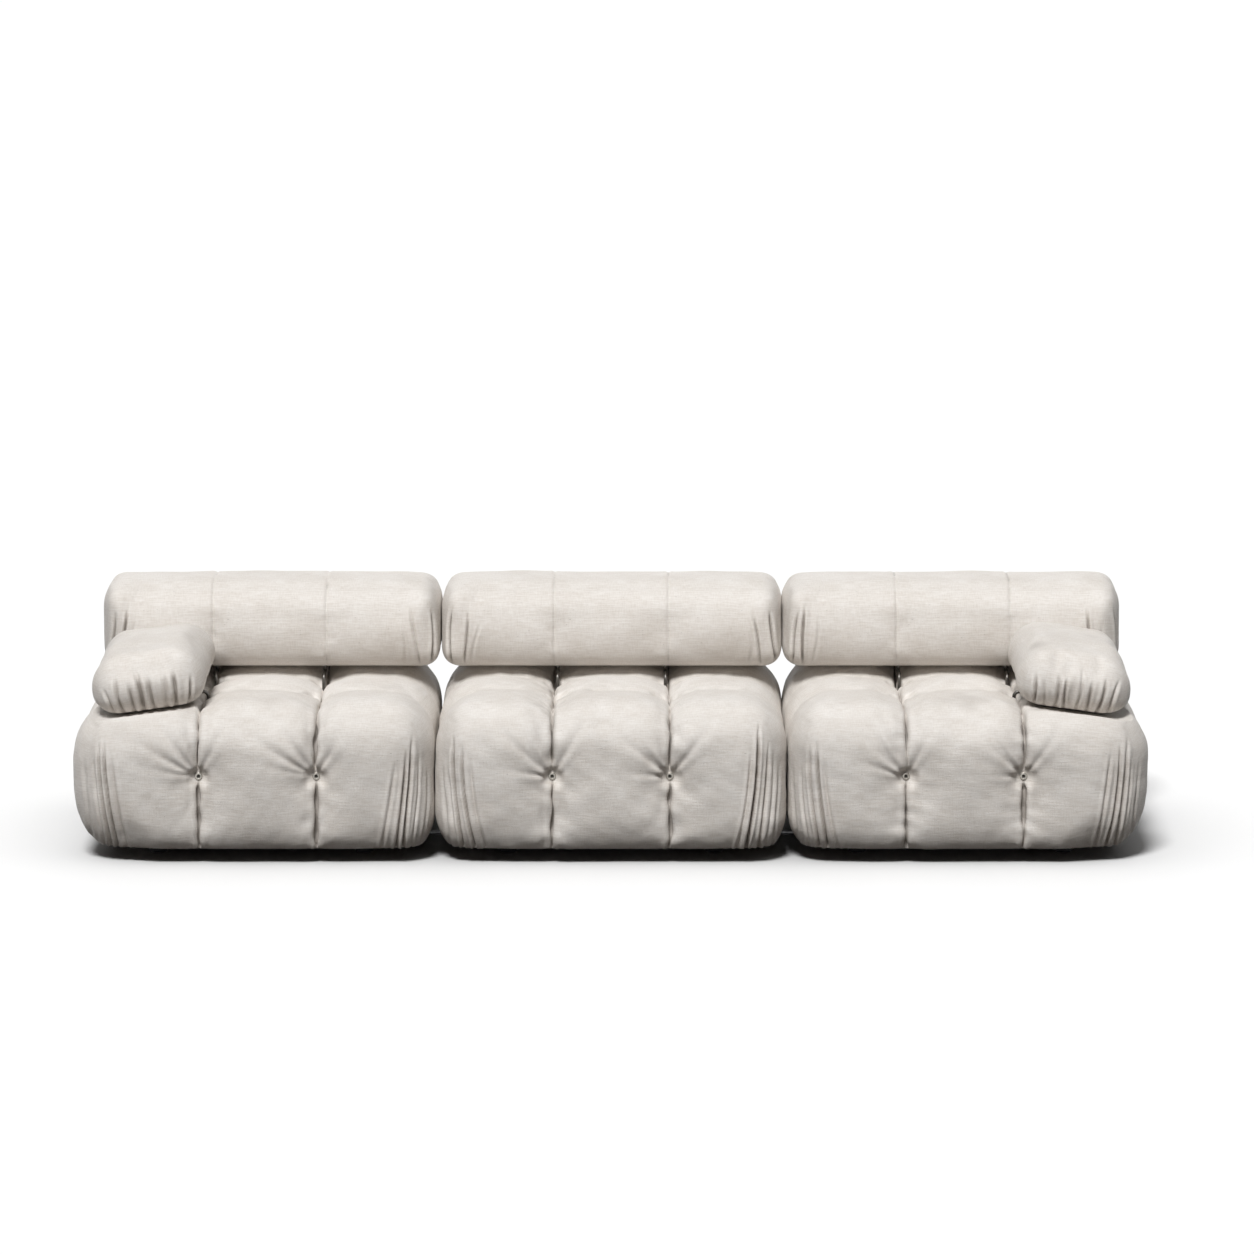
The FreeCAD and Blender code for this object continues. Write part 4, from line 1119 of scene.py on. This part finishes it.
    def pins(self, lattice: Lattice, points: Array) -> Array:
        """Hold the channels, the hem, the eyelets and the sockets.

        Args:
            lattice: Lattice of the cover.
            points: Points of the cover.

        Returns:
            Weight of every point.
        """
        s = self.sizes
        hold = self.holds
        x, y, z = points.T
        columns = bell(np.abs(x) - s.channel, hold.line)
        rows = bell(np.abs(y) - s.channel, hold.line) * hold.row_share
        hem = fall(z, s.hem + hold.hem, hold.hem)
        reach, side_reach, socket_reach = self.fixing_reach(points)
        eyelet = (reach < hold.eyelet) & (np.abs(y) > hold.face)
        side_eyelet = (side_reach < hold.eyelet) & (np.abs(x) > hold.face)
        socket = (socket_reach < hold.socket) & (z > hold.top)
        off_side = np.abs(lattice.flat[:, 0]) - s.half_width
        pressed = smooth((off_side + hold.side) / hold.side) * hold.side_share
        fixed = (eyelet | side_eyelet | socket) * 1.0
        return np.clip(np.maximum.reduce([columns, rows, hem, pressed, fixed]), 0.0, 1.0)

    def pleats(self) -> list[Pleat]:
        """Gathered folds of the front and rear faces, near each side from mid-height to the hem."""
        rng = np.random.default_rng(self.seed)
        f = self.folds
        made = []
        for sign, free in ((-1.0, self.module.free_left), (1.0, self.module.free_right)):
            reach = self.sizes.half_width + (f.free_out if free else f.pressed_out)
            for distance, share in f.pleats:
                strength = share * rng.uniform(*f.strength)
                spread = distance + rng.uniform(*f.shift)
                head = sign * (reach - spread * f.head_spread)
                foot = sign * (reach - f.foot_in - spread)
                height = rng.uniform(*f.height) + f.height_more * strength
                bow = sign * rng.uniform(*f.bow)
                depth = strength * rng.uniform(*f.depth)
                width = rng.uniform(*f.width)
                lip = f.lip + strength * rng.uniform(*f.lip_more)
                end = (foot, self.sizes.hem - f.foot_down)
                made.append(Pleat((head, height), end, bow, depth, width, lip, f.fade))
        return made

    def stars(self) -> list[Star]:
        """Creases that fan out from the eyelets."""
        rng = np.random.default_rng(self.seed + 3)
        f = self.folds
        count = len(f.fan_angles)
        fans = []
        for sign in (-1.0, 1.0):
            angles = np.radians(np.array(f.fan_angles) + rng.uniform(*f.fan_turn, count))
            lengths = rng.uniform(*f.fan_length, count) * np.array(f.fan_shares)
            centre = (sign * self.sizes.channel, self.sizes.eyelet_height)
            fans.append(Star(centre, tuple(angles), tuple(lengths), f.fan_depth))
        return fans

    def crease(self, flat: Array, points: Array, normals: Array) -> tuple[Array, Array]:
        """Add the folds of the cloth to the subdivided cover.

        Args:
            flat: Points on the brick; not used.
            points: Points of the cover about its own centre.
            normals: Their normals.

        Returns:
            Finished points in place, and how deep each lies in a fold, which paints shade into the
            cloth's colour.
        """
        s = self.sizes
        f = self.folds
        x, y, z = points.T
        face = rise(np.abs(normals[:, 1]), *f.face)
        eyelet, side_eyelet, socket = self.fixing_reach(points)
        places = (
            (eyelet, f.calm_eyelet, np.abs(y) > f.calm_face),
            (socket, f.calm_socket, z > f.calm_top),
            (side_eyelet, f.calm_eyelet, np.abs(x) > f.calm_face),
        )
        calm = np.ones_like(x)
        for reach, span, near in places:
            calm *= 1.0 - (1.0 - rise(reach, *span)) * near
        relief = np.zeros_like(x)
        turned = np.where(y < 0.0, x, -x)
        for pleat in self.pleats():
            relief += pleat.relief(turned, z) * face
        for fan in self.stars():
            relief += fan.relief(x, z) * face
        off_column = np.abs(x) - s.channel
        edge = bell(np.minimum(np.abs(off_column), np.abs(np.abs(y) - s.channel)), f.fine_edge)
        share, place, reach = f.slit_ridge
        slit = bell(off_column, s.slit_width) - share * bell(np.abs(off_column) - place, reach)
        on_top = f.slit_top * rise(normals[:, 2], *f.top) * (y < f.slit_end)
        relief -= s.slit_depth * slit * (face + on_top)
        relief += f.fine * Ripple(self.seed, *f.fine_waves).at(points) * (f.fine_plain + edge)
        relief += f.broad * Ripple(self.seed + 1, *f.broad_waves).at(points)
        relief *= calm * (z > s.hem + f.hem_clear)
        done = points + normals * relief[:, None]
        wander = f.wander * Ripple(self.seed + 2, *f.wander_waves).at(points)
        done[:, 0] += wander * bell(off_column, f.wander_reach) * calm * face
        done[:, 2] = np.maximum(done[:, 2], s.hem)
        done[:, 0] += self.module.centre
        for hand in Hand:
            if hand.label == self.module.label:
                done = ArmCushion(hand).dent(done)
        # How deep each point lies in a fold, returned as painted shade for the cloth's colour.
        return done, rise(-relief, *f.shaded)

    def build(self, cloth: bpy.types.Material) -> None:
        """Make the cushion from its cloth."""
        lattice = self.lattice()
        plain = self.form(lattice, False, False)
        swelling = self.swell(lattice, plain, self.pins(lattice, plain))
        points = self.form(lattice, self.module.free_left, self.module.free_right) + swelling
        self.finish(self.module.label, lattice, points, cloth)


@dataclass(frozen=True)
class BackSizes:
    """Sizes of a back cushion."""

    half_length: float = 0.4744
    free_end_in: float = 0.008
    front: float = 0.130
    rear: float = 0.450
    bottom: float = 0.4285
    top: float = 0.6650
    seam: float = 0.158
    seam_depth: float = 0.0026
    seam_width: float = 0.0032
    gathered: float = 0.320
    step: float = 0.0100
    step_gathered: float = 0.0048
    end_round: Span = (0.056, 0.066)
    front_round: Span = (0.095, 0.125)
    low_round: Span = (0.078, 0.060)
    top_round: Span = (0.088, 0.074)
    fullness: float = 2.25
    close_lines: float = 0.004
    end_part: Span = (0.11, 0.09)
    held_under: Span = (0.035, 0.03)
    held_end: float = 0.02
    held_share: float = 0.9


@dataclass(frozen=True)
class BackFolds:
    """Folds of a back cushion: creases near its ends, puckered seams and unevenness."""

    strengths: Triple = (1.5, 0.9, 0.3)
    distances: Triple = (0.026, 0.058, 0.092)
    shift: Span = (-0.01, 0.01)
    slant: Span = (0.0, 0.030)
    height: Span = (0.555, 0.595)
    height_more: float = 0.030
    foot: Span = (0.010, 0.030)
    bow: Span = (-0.008, 0.008)
    depth: float = 0.008
    width: Span = (0.0030, 0.0042)
    lip: float = 0.001
    lip_more: float = 0.002
    fade: float = 0.4
    face: Span = (0.1, 0.3)
    clear: Span = (0.004, 0.03)
    seam_ridge: Triple = (0.0005, 0.010, 0.007)
    pucker: float = 0.0005
    pucker_waves: Span = (0.05, 0.018)
    pucker_reach: float = 0.022
    broad: float = 0.0010
    broad_waves: Span = (0.35, 0.10)
    shaded: Span = (0.0016, 0.005)


class BackCushion(Cushion):
    """One back cushion: a bolster with two panel seams."""

    kind = "back"
    first_seed = 101
    press = ClothPress(pressure=3.0, slack=0.02, cap=0.010)
    sizes = BackSizes()
    folds = BackFolds()

    def __init__(self, module: Module) -> None:
        """Keep the module that carries the cushion, and its seed."""
        self.module = module
        self.seed = self.first_seed + SEED_STEP * list(Module).index(module)

    def lattice(self) -> Lattice:
        """Lattice with close lines at the seams."""
        s = self.sizes
        stations = [0.0, s.seam - s.close_lines, s.seam, s.seam + s.close_lines, s.gathered]
        half = spaced(stations, s.step)
        outer = spaced([s.gathered, s.half_length], s.step_gathered)
        half = np.concatenate([half, outer[1:]])
        across = np.concatenate([-half[:0:-1], half])
        return Lattice(across, spaced([s.front, s.rear], s.step), spaced([s.bottom, s.top], s.step))

    def form(self, lattice: Lattice) -> Array:
        """Wrapped cushion about the module's centre.

        Args:
            lattice: Lattice of the cushion.

        Returns:
            Its points.
        """
        s = self.sizes
        upper = smooth((lattice.flat[:, 2] - s.bottom) / (s.top - s.bottom))
        inward, run = s.end_part
        near_end = smooth((np.abs(lattice.flat[:, 0]) - s.half_length + inward) / run)
        round_x = mix(*s.end_round, upper)
        round_y = mix(*s.front_round, upper)
        low = np.array([-s.half_length, s.front, s.bottom])
        high = np.array([s.half_length, s.rear, s.top])
        rounds = np.column_stack([round_x, round_y, mix(*s.low_round, near_end)])
        tops = np.column_stack([round_x, round_y, mix(*s.top_round, near_end)])
        points, _ = wrap(lattice.flat, low, high, rounds, tops, s.fullness)
        return points

    def pins(self, points: Array) -> Array:
        """Hold the ends and the underside.

        Args:
            points: Points of the cushion.

        Returns:
            Weight of every point.
        """
        s = self.sizes
        above, run = s.held_under
        under = fall(points[:, 2], s.bottom + above, run)
        off_end = np.abs(points[:, 0]) - s.half_length
        end = smooth((off_end + s.held_end) / s.held_end) * s.held_share
        return np.clip(np.maximum(under, end), 0.0, 1.0)

    def pleats(self) -> list[Pleat]:
        """Slanted creases near both ends of the face."""
        rng = np.random.default_rng(self.seed)
        s = self.sizes
        f = self.folds
        made = []
        for sign in (-1.0, 1.0):
            strengths = rng.permutation(f.strengths)
            for distance, strength in zip(f.distances, strengths):
                spread = distance + rng.uniform(*f.shift)
                head = sign * (s.half_length - spread - rng.uniform(*f.slant))
                start = (head, rng.uniform(*f.height) + f.height_more * strength)
                end = (sign * (s.half_length - spread), s.bottom + rng.uniform(*f.foot))
                bow = rng.uniform(*f.bow)
                width = rng.uniform(*f.width)
                lip = f.lip + f.lip_more * strength
                made.append(Pleat(start, end, bow, f.depth * strength, width, lip, f.fade))
        return made

    def crease(self, flat: Array, points: Array, normals: Array) -> tuple[Array, Array]:
        """Sew the seams and add the creases.

        Args:
            flat: Points on the brick.
            points: Points of the cushion.
            normals: Their normals.

        Returns:
            Finished points in place, and how deep each lies in a fold, which paints shade into the
            cloth's colour.
        """
        s = self.sizes
        f = self.folds
        x, y, z = points.T
        front = np.where(y < (s.front + s.rear) / 2.0, x, -x)
        face = rise(np.abs(normals[:, 1]), *f.face)
        free = rise(z - s.bottom, *f.clear)
        across = np.abs(flat[:, 0]) - s.seam
        ridge, place, reach = f.seam_ridge
        pucker = f.pucker * Ripple(self.seed + 2, *f.pucker_waves).at(points)
        relief = -s.seam_depth * bell(across, s.seam_width)
        relief += ridge * bell(np.abs(across) - place, reach)
        relief += pucker * bell(across, f.pucker_reach)
        for pleat in self.pleats():
            relief += pleat.relief(front, z) * face
        relief += f.broad * Ripple(self.seed, *f.broad_waves).at(points)
        done = points + normals * (relief * free)[:, None]
        done[:, 2] = np.maximum(done[:, 2], s.bottom)
        done[:, 0] += self.module.centre
        # How deep each point lies in a fold, returned as painted shade for the cloth's colour.
        return done, rise(-relief, *f.shaded) * free

    def build(self, cloth: bpy.types.Material) -> None:
        """Make the cushion from its cloth."""
        lattice = self.lattice()
        plain = self.form(lattice)
        points = plain + self.swell(lattice, plain, self.pins(plain))
        free = np.where(points[:, 0] < 0.0, self.module.free_left, self.module.free_right)
        points[:, 0] *= np.where(free, 1.0 - self.sizes.free_end_in / self.sizes.half_length, 1.0)
        self.finish(self.module.label, lattice, points, cloth)


@dataclass(frozen=True)
class ArmSizes:
    """Sizes of an arm cushion and its place."""

    half_width: float = 0.154
    near: float = -0.398
    far: float = 0.127
    height: float = 0.148
    centre: float = 1.240
    level: float = 0.4120
    lean: float = math.radians(8.0)
    sag: float = 0.014
    sag_length: float = 0.22
    # Painted contact shadow along the arm's bottom edge: how high it reaches and how dark it is.
    edge_shade: float = 0.016
    edge_dark: float = 0.9
    step: float = 0.0080
    step_gathered: float = 0.0048
    low_rounds: Triple = (0.080, 0.078, 0.058)
    high_rounds: Triple = (0.080, 0.080, 0.084)
    fullness: float = 2.15
    held_under: float = 0.03
    dent_in: Triple = (0.036, 0.012, 0.05)
    dent_rise: float = 5.0
    dent_gap: float = 0.0035
    dent_reach: float = 0.07
    dent_lowest: float = 0.25


@dataclass(frozen=True)
class ArmFolds:
    """Folds of an arm cushion: gathers of its near end and unevenness."""

    places: tuple[float, ...] = (-0.112, -0.082, -0.050, -0.022, 0.012, 0.046, 0.074, 0.110)
    head_spread: float = 1.05
    foot_spread: float = 0.9
    shift: Span = (-0.006, 0.006)
    height: Span = (0.100, 0.140)
    height_less: float = 0.22
    strength: Span = (0.45, 1.4)
    bow: Span = (-0.006, 0.006)
    depth: float = 0.009
    width: Span = (0.0036, 0.0058)
    lip: float = 0.0015
    lip_more: float = 0.002
    fade: float = 0.4
    face: Span = (0.25, 0.35)
    clear: Span = (0.004, 0.03)
    broad: float = 0.0016
    broad_waves: Span = (0.25, 0.08)
    shaded: Span = (0.002, 0.007)


class ArmCushion(Cushion):
    """One arm cushion: a loaf that leans outwards, gathered at its near end."""

    kind = "arm"
    first_seed = 211
    press = ClothPress(pressure=3.0, slack=0.02, cap=0.009)
    sizes = ArmSizes()
    folds = ArmFolds()

    def __init__(self, hand: Hand) -> None:
        """Keep the end of the sofa and its seed."""
        self.hand = hand
        self.seed = self.first_seed + SEED_STEP * list(Hand).index(hand)

    def lattice(self) -> Lattice:
        """Even lattice of the cushion."""
        s = self.sizes
        return Lattice(spaced([-s.half_width, 0.0, s.half_width], s.step_gathered),
                       spaced([s.near, s.far], s.step), spaced([0.0, s.height], s.step))

    def form(self, lattice: Lattice) -> Array:
        """Wrapped cushion before it leans.

        Args:
            lattice: Lattice of the cushion.

        Returns:
            Its points.
        """
        s = self.sizes
        low = np.array([-s.half_width, s.near, 0.0])
        high = np.array([s.half_width, s.far, s.height])
        rounds = np.array(s.low_rounds)
        tops = np.array(s.high_rounds)
        points, _ = wrap(lattice.flat, low, high, rounds, tops, s.fullness)
        return points

    def pins(self, points: Array) -> Array:
        """Hold the underside."""
        return fall(points[:, 2], self.sizes.held_under, self.sizes.held_under)

    def drop(self, y: Array) -> Array:
        """How far the near end sags at every place along the arm."""
        s = self.sizes
        return s.sag * fall(y, s.near + s.sag_length, s.sag_length)

    def dent(self, points: Array) -> Array:
        """Press the seat's points down where the arm lies on them.

        The arm's underside at (x, y) is level - tan(lean) * across - drop(y), with across = x - centre.
        It holds over the arm's flat bottom and rises like a parabola beyond it.

        Args:
            points: Points of the seat in place.

        Returns:
            The points with the dent.
        """
        s = self.sizes
        across = points[:, 0] * self.hand.sign - s.centre
        side_in, near_in, far_in = s.dent_in
        beyond = np.maximum(np.abs(across) - s.half_width + side_in, 0.0)
        beyond = np.hypot(beyond, np.maximum(s.near + near_in - points[:, 1], 0.0))
        beyond = np.hypot(beyond, np.maximum(points[:, 1] - s.far + far_in, 0.0))
        under = s.level - math.tan(s.lean) * across - self.drop(points[:, 1])
        under = under + s.dent_rise * beyond ** 2 - s.dent_gap
        reach = (beyond < s.dent_reach) & (points[:, 2] > s.dent_lowest)
        pressed = points.copy()
        pressed[:, 2] = np.where(reach, np.minimum(points[:, 2], under), points[:, 2])
        return pressed

    def pleats(self) -> list[Pleat]:
        """Folds of the near end that gather to the seam below."""
        rng = np.random.default_rng(self.seed)
        f = self.folds
        made = []
        for place in f.places:
            head = place * f.head_spread + rng.uniform(*f.shift)
            high = rng.uniform(*f.height) - f.height_less * abs(place)
            strength = rng.uniform(*f.strength)
            bow = rng.uniform(*f.bow)
            width = rng.uniform(*f.width)
            end = (place * f.foot_spread, 0.0)
            lip = f.lip + f.lip_more * strength
            made.append(Pleat((head, high), end, bow, f.depth * strength, width, lip, f.fade))
        return made

    def crease(self, flat: Array, points: Array, normals: Array) -> tuple[Array, Array]:
        """Gather the ends, then lean the cushion and put it in place.

        Args:
            flat: Points on the brick; not used.
            points: Points of the cushion.
            normals: Their normals.

        Returns:
            Finished points in place, and the painted shade: how deep each lies in a fold, and a painted
            contact shadow along the bottom edge.
        """
        s = self.sizes
        f = self.folds
        x, _, z = points.T
        face = rise(np.abs(normals[:, 1]), *f.face)
        relief = np.zeros_like(x)
        for pleat in self.pleats():
            relief += pleat.relief(x, z) * face
        relief += f.broad * Ripple(self.seed, *f.broad_waves).at(points) * rise(z, *f.clear)
        done = points + normals * relief[:, None]
        done[:, 2] -= self.drop(done[:, 1])
        turn = s.lean * self.hand.sign
        placed = done.copy()
        cosine = math.cos(turn)
        sine = math.sin(turn)
        placed[:, 0] = done[:, 0] * cosine + done[:, 2] * sine + self.hand.sign * s.centre
        placed[:, 2] = done[:, 2] * cosine - done[:, 0] * sine + s.level
        # Painted contact shadow: the cloth is darkened along the bottom edge, where the arm lies on the
        # seat.
        painted_contact_shadow = s.edge_dark * fall(points[:, 2], s.edge_shade, s.edge_shade)
        return placed, np.maximum(rise(-relief, *f.shaded), painted_contact_shadow)

    def build(self, cloth: bpy.types.Material) -> None:
        """Make the cushion from its cloth."""
        lattice = self.lattice()
        plain = self.form(lattice)
        points = plain + self.swell(lattice, plain, self.pins(plain))
        self.finish(self.hand.label, lattice, points, cloth)


# Hardware

class Hardware:
    """Finishes of the solids that stay: feet, boards, eyelets, sockets, hooks, pins and cords."""

    def __init__(self) -> None:
        """Make one material for every kind of node."""
        steel = Metal("steel", (0.42, 0.42, 0.43), (0.30, 0.30, 0.31), 0.28).build()
        bright = Metal("bright_metal", (0.36, 0.34, 0.31), (0.20, 0.19, 0.17), 0.30).build()
        burnished = Metal("hook_metal", (0.150, 0.143, 0.132), (0.080, 0.076, 0.070), 0.24).build()
        ring = Metal("eyelet_metal", (0.44, 0.42, 0.38), (0.28, 0.26, 0.23), 0.32).build()
        plastic = Moulded("foot_plastic", (0.020, 0.020, 0.021), (0.045, 0.044, 0.043)).build()
        wood = Plywood().build()
        dust = Fibre("dust_cloth", (0.030, 0.030, 0.032), (0.012, 0.012, 0.013), (500.0,) * 3).build()
        cord = Fibre("cord", (0.060, 0.054, 0.048), (0.020, 0.018, 0.016), (900.0, 900.0, 300.0)).build()
        self.finishes: dict[str, bpy.types.Material] = {
            "base_board": wood, "back_slat": wood, "arm_slat": wood, "dust_cloth": dust, "feet": plastic,
            "foot_bolts": steel, "link_brackets": steel, "link_pins": steel, "face_eyelets": ring,
            "tuft_sockets": bright, "back_hooks": burnished, "arm_hook": burnished, "pull_cords": cord,
            "tuft_cords": cord,
        }

    def dress(self, nodes: dict[str, bpy.types.Object]) -> None:
        """Put the finishes on the nodes.

        Args:
            nodes: Node names and objects.
        """
        for name, node in nodes.items():
            kind = name.rsplit("_", 1)[0]
            finish = self.finishes.get(kind)
            if finish is None:
                continue
            for slot in node.material_slots:
                slot.material = finish
            LOG.info("%s: %s", name, finish.name)


# Studio

@dataclass(frozen=True)
class Lamp:
    """One far lamp: strength, then spread of its disc, turn from the front and height in degrees."""

    name: str
    energy: float
    spread: float
    turn: float
    height: float
    glints: bool = True

    def build(self) -> None:
        """Put the lamp into the scene."""
        lamp = bpy.data.lights.new(self.name, "SUN")
        lamp.energy = self.energy
        lamp.angle = math.radians(self.spread)
        piece = bpy.data.objects.new(self.name, lamp)
        piece.rotation_euler = (math.radians(90.0 - self.height), 0.0, math.radians(self.turn))
        piece.visible_glossy = self.glints
        bpy.context.scene.collection.objects.link(piece)


@dataclass(frozen=True)
class Studio:
    """Floor, light and camera."""

    floor_half: float = 90.0
    floor_seen: float = 0.94
    floor_bounce: Colour = (0.050, 0.043, 0.036)
    # Painted shade on the floor close to the sofa: its darkest tone and the reach of the occlusion that
    # sets it.
    floor_painted_shade_tone: float = 0.50
    floor_painted_shade_reach: float = 0.50
    sky: float = 0.05
    sky_part: Span = (-0.15, 0.85)
    lamps: tuple[Lamp, ...] = (
        Lamp("key", 3.40, 16.0, -14.0, 55.0),
        Lamp("top", 0.45, 90.0, 0.0, 85.0),
        Lamp("rear", 1.2, 20.0, 180.0, 4.0, False),
    )
    elevation: float = math.radians(9.14)
    distance: float = 16.40
    lens: float = 171.1
    sensor: float = 36.0
    farthest: float = 400.0
    aim: Triple = (0.0429, 0.0, 0.5713)

    def background_share(self, graph: ShaderGraph) -> Wire:
        """1 for rays that show the background: camera, glossy and transmission rays."""
        path = graph.add("ShaderNodeLightPath", {}, {})
        seen = Wire(graph, path.outputs["Is Camera Ray"])
        seen = seen.high(Wire(graph, path.outputs["Is Glossy Ray"]))
        return seen.high(Wire(graph, path.outputs["Is Transmission Ray"]))

    def build_floor(self) -> None:
        """Pale floor that keeps the shadow, with painted shade that darkens it softly close to the sofa.
        """
        ends = np.array([[-1.0, -1.0, 0.0], [1.0, -1.0, 0.0], [1.0, 1.0, 0.0], [-1.0, 1.0, 0.0]])
        corners = ends * self.floor_half
        floor = place_object("floor", make_mesh("floor", corners, np.array([[0, 1, 2, 3]])))
        material, graph = new_material("floor")
        seen = self.background_share(graph)
        # Painted shade: ambient occlusion darkens the floor's colour close to the sofa.
        clear = graph.node("ShaderNodeAmbientOcclusion", {}, {"Distance": self.floor_painted_shade_reach}, "AO")
        floor_tone_with_painted_shade = graph.blend(clear, (self.floor_painted_shade_tone,) * 3, (self.floor_seen,) * 3)
        tone = graph.blend(seen, self.floor_bounce, floor_tone_with_painted_shade)
        diffuse = graph.node("ShaderNodeBsdfDiffuse", {}, {"Color": tone})
        graph.add("ShaderNodeOutputMaterial", {}, {"Surface": diffuse})
        floor.data.materials.append(material)

    def build_light(self) -> None:
        """Weak white sky, a key lamp from the front left, a wide top lamp and a low lamp behind."""
        scene = bpy.context.scene
        world = bpy.data.worlds.new("studio")
        world.use_nodes = True
        graph = ShaderGraph(world.node_tree)
        way = graph.node("ShaderNodeTexCoord", {}, {}, "Generated")
        height = graph.axis(way, "Z").ramp(*self.sky_part)
        strength = self.background_share(graph).high(height * self.sky)
        sockets = {"Color": (1.0, 1.0, 1.0, 1.0), "Strength": strength}
        sky = graph.node("ShaderNodeBackground", {}, sockets)
        graph.add("ShaderNodeOutputWorld", {}, {"Surface": sky})
        scene.world = world
        for lamp in self.lamps:
            lamp.build()

    def build_camera(self) -> None:
        """Camera at the photograph's viewing angle."""
        data = bpy.data.cameras.new("camera")
        data.lens = self.lens
        data.sensor_width = self.sensor
        data.clip_end = self.farthest
        camera = bpy.data.objects.new("camera", data)
        x, y, z = self.aim
        camera.location = (x, y - self.distance * math.cos(self.elevation),
                           z + self.distance * math.sin(self.elevation))
        camera.rotation_euler = (math.pi / 2.0 - self.elevation, 0.0, 0.0)
        bpy.context.scene.collection.objects.link(camera)
        bpy.context.scene.camera = camera

    def build(self) -> None:
        """Make the whole studio."""
        self.build_floor()
        self.build_light()
        self.build_camera()
        bpy.context.scene.view_settings.view_transform = "Standard"


def main() -> None:
    """Dress the frame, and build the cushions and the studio."""
    logging.basicConfig(level=logging.INFO, format="%(name)s %(message)s")
    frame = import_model()
    Hardware().dress(frame["nodes"])
    cloth = CoverCloth().build()
    for module in (Module.MIDDLE, Module.LEFT, Module.RIGHT):
        SeatCushion(module).build(cloth)
        BackCushion(module).build(cloth)
    for hand in Hand:
        ArmCushion(hand).build(cloth)
    Studio().build()


if __name__ == "__main__":
    main()
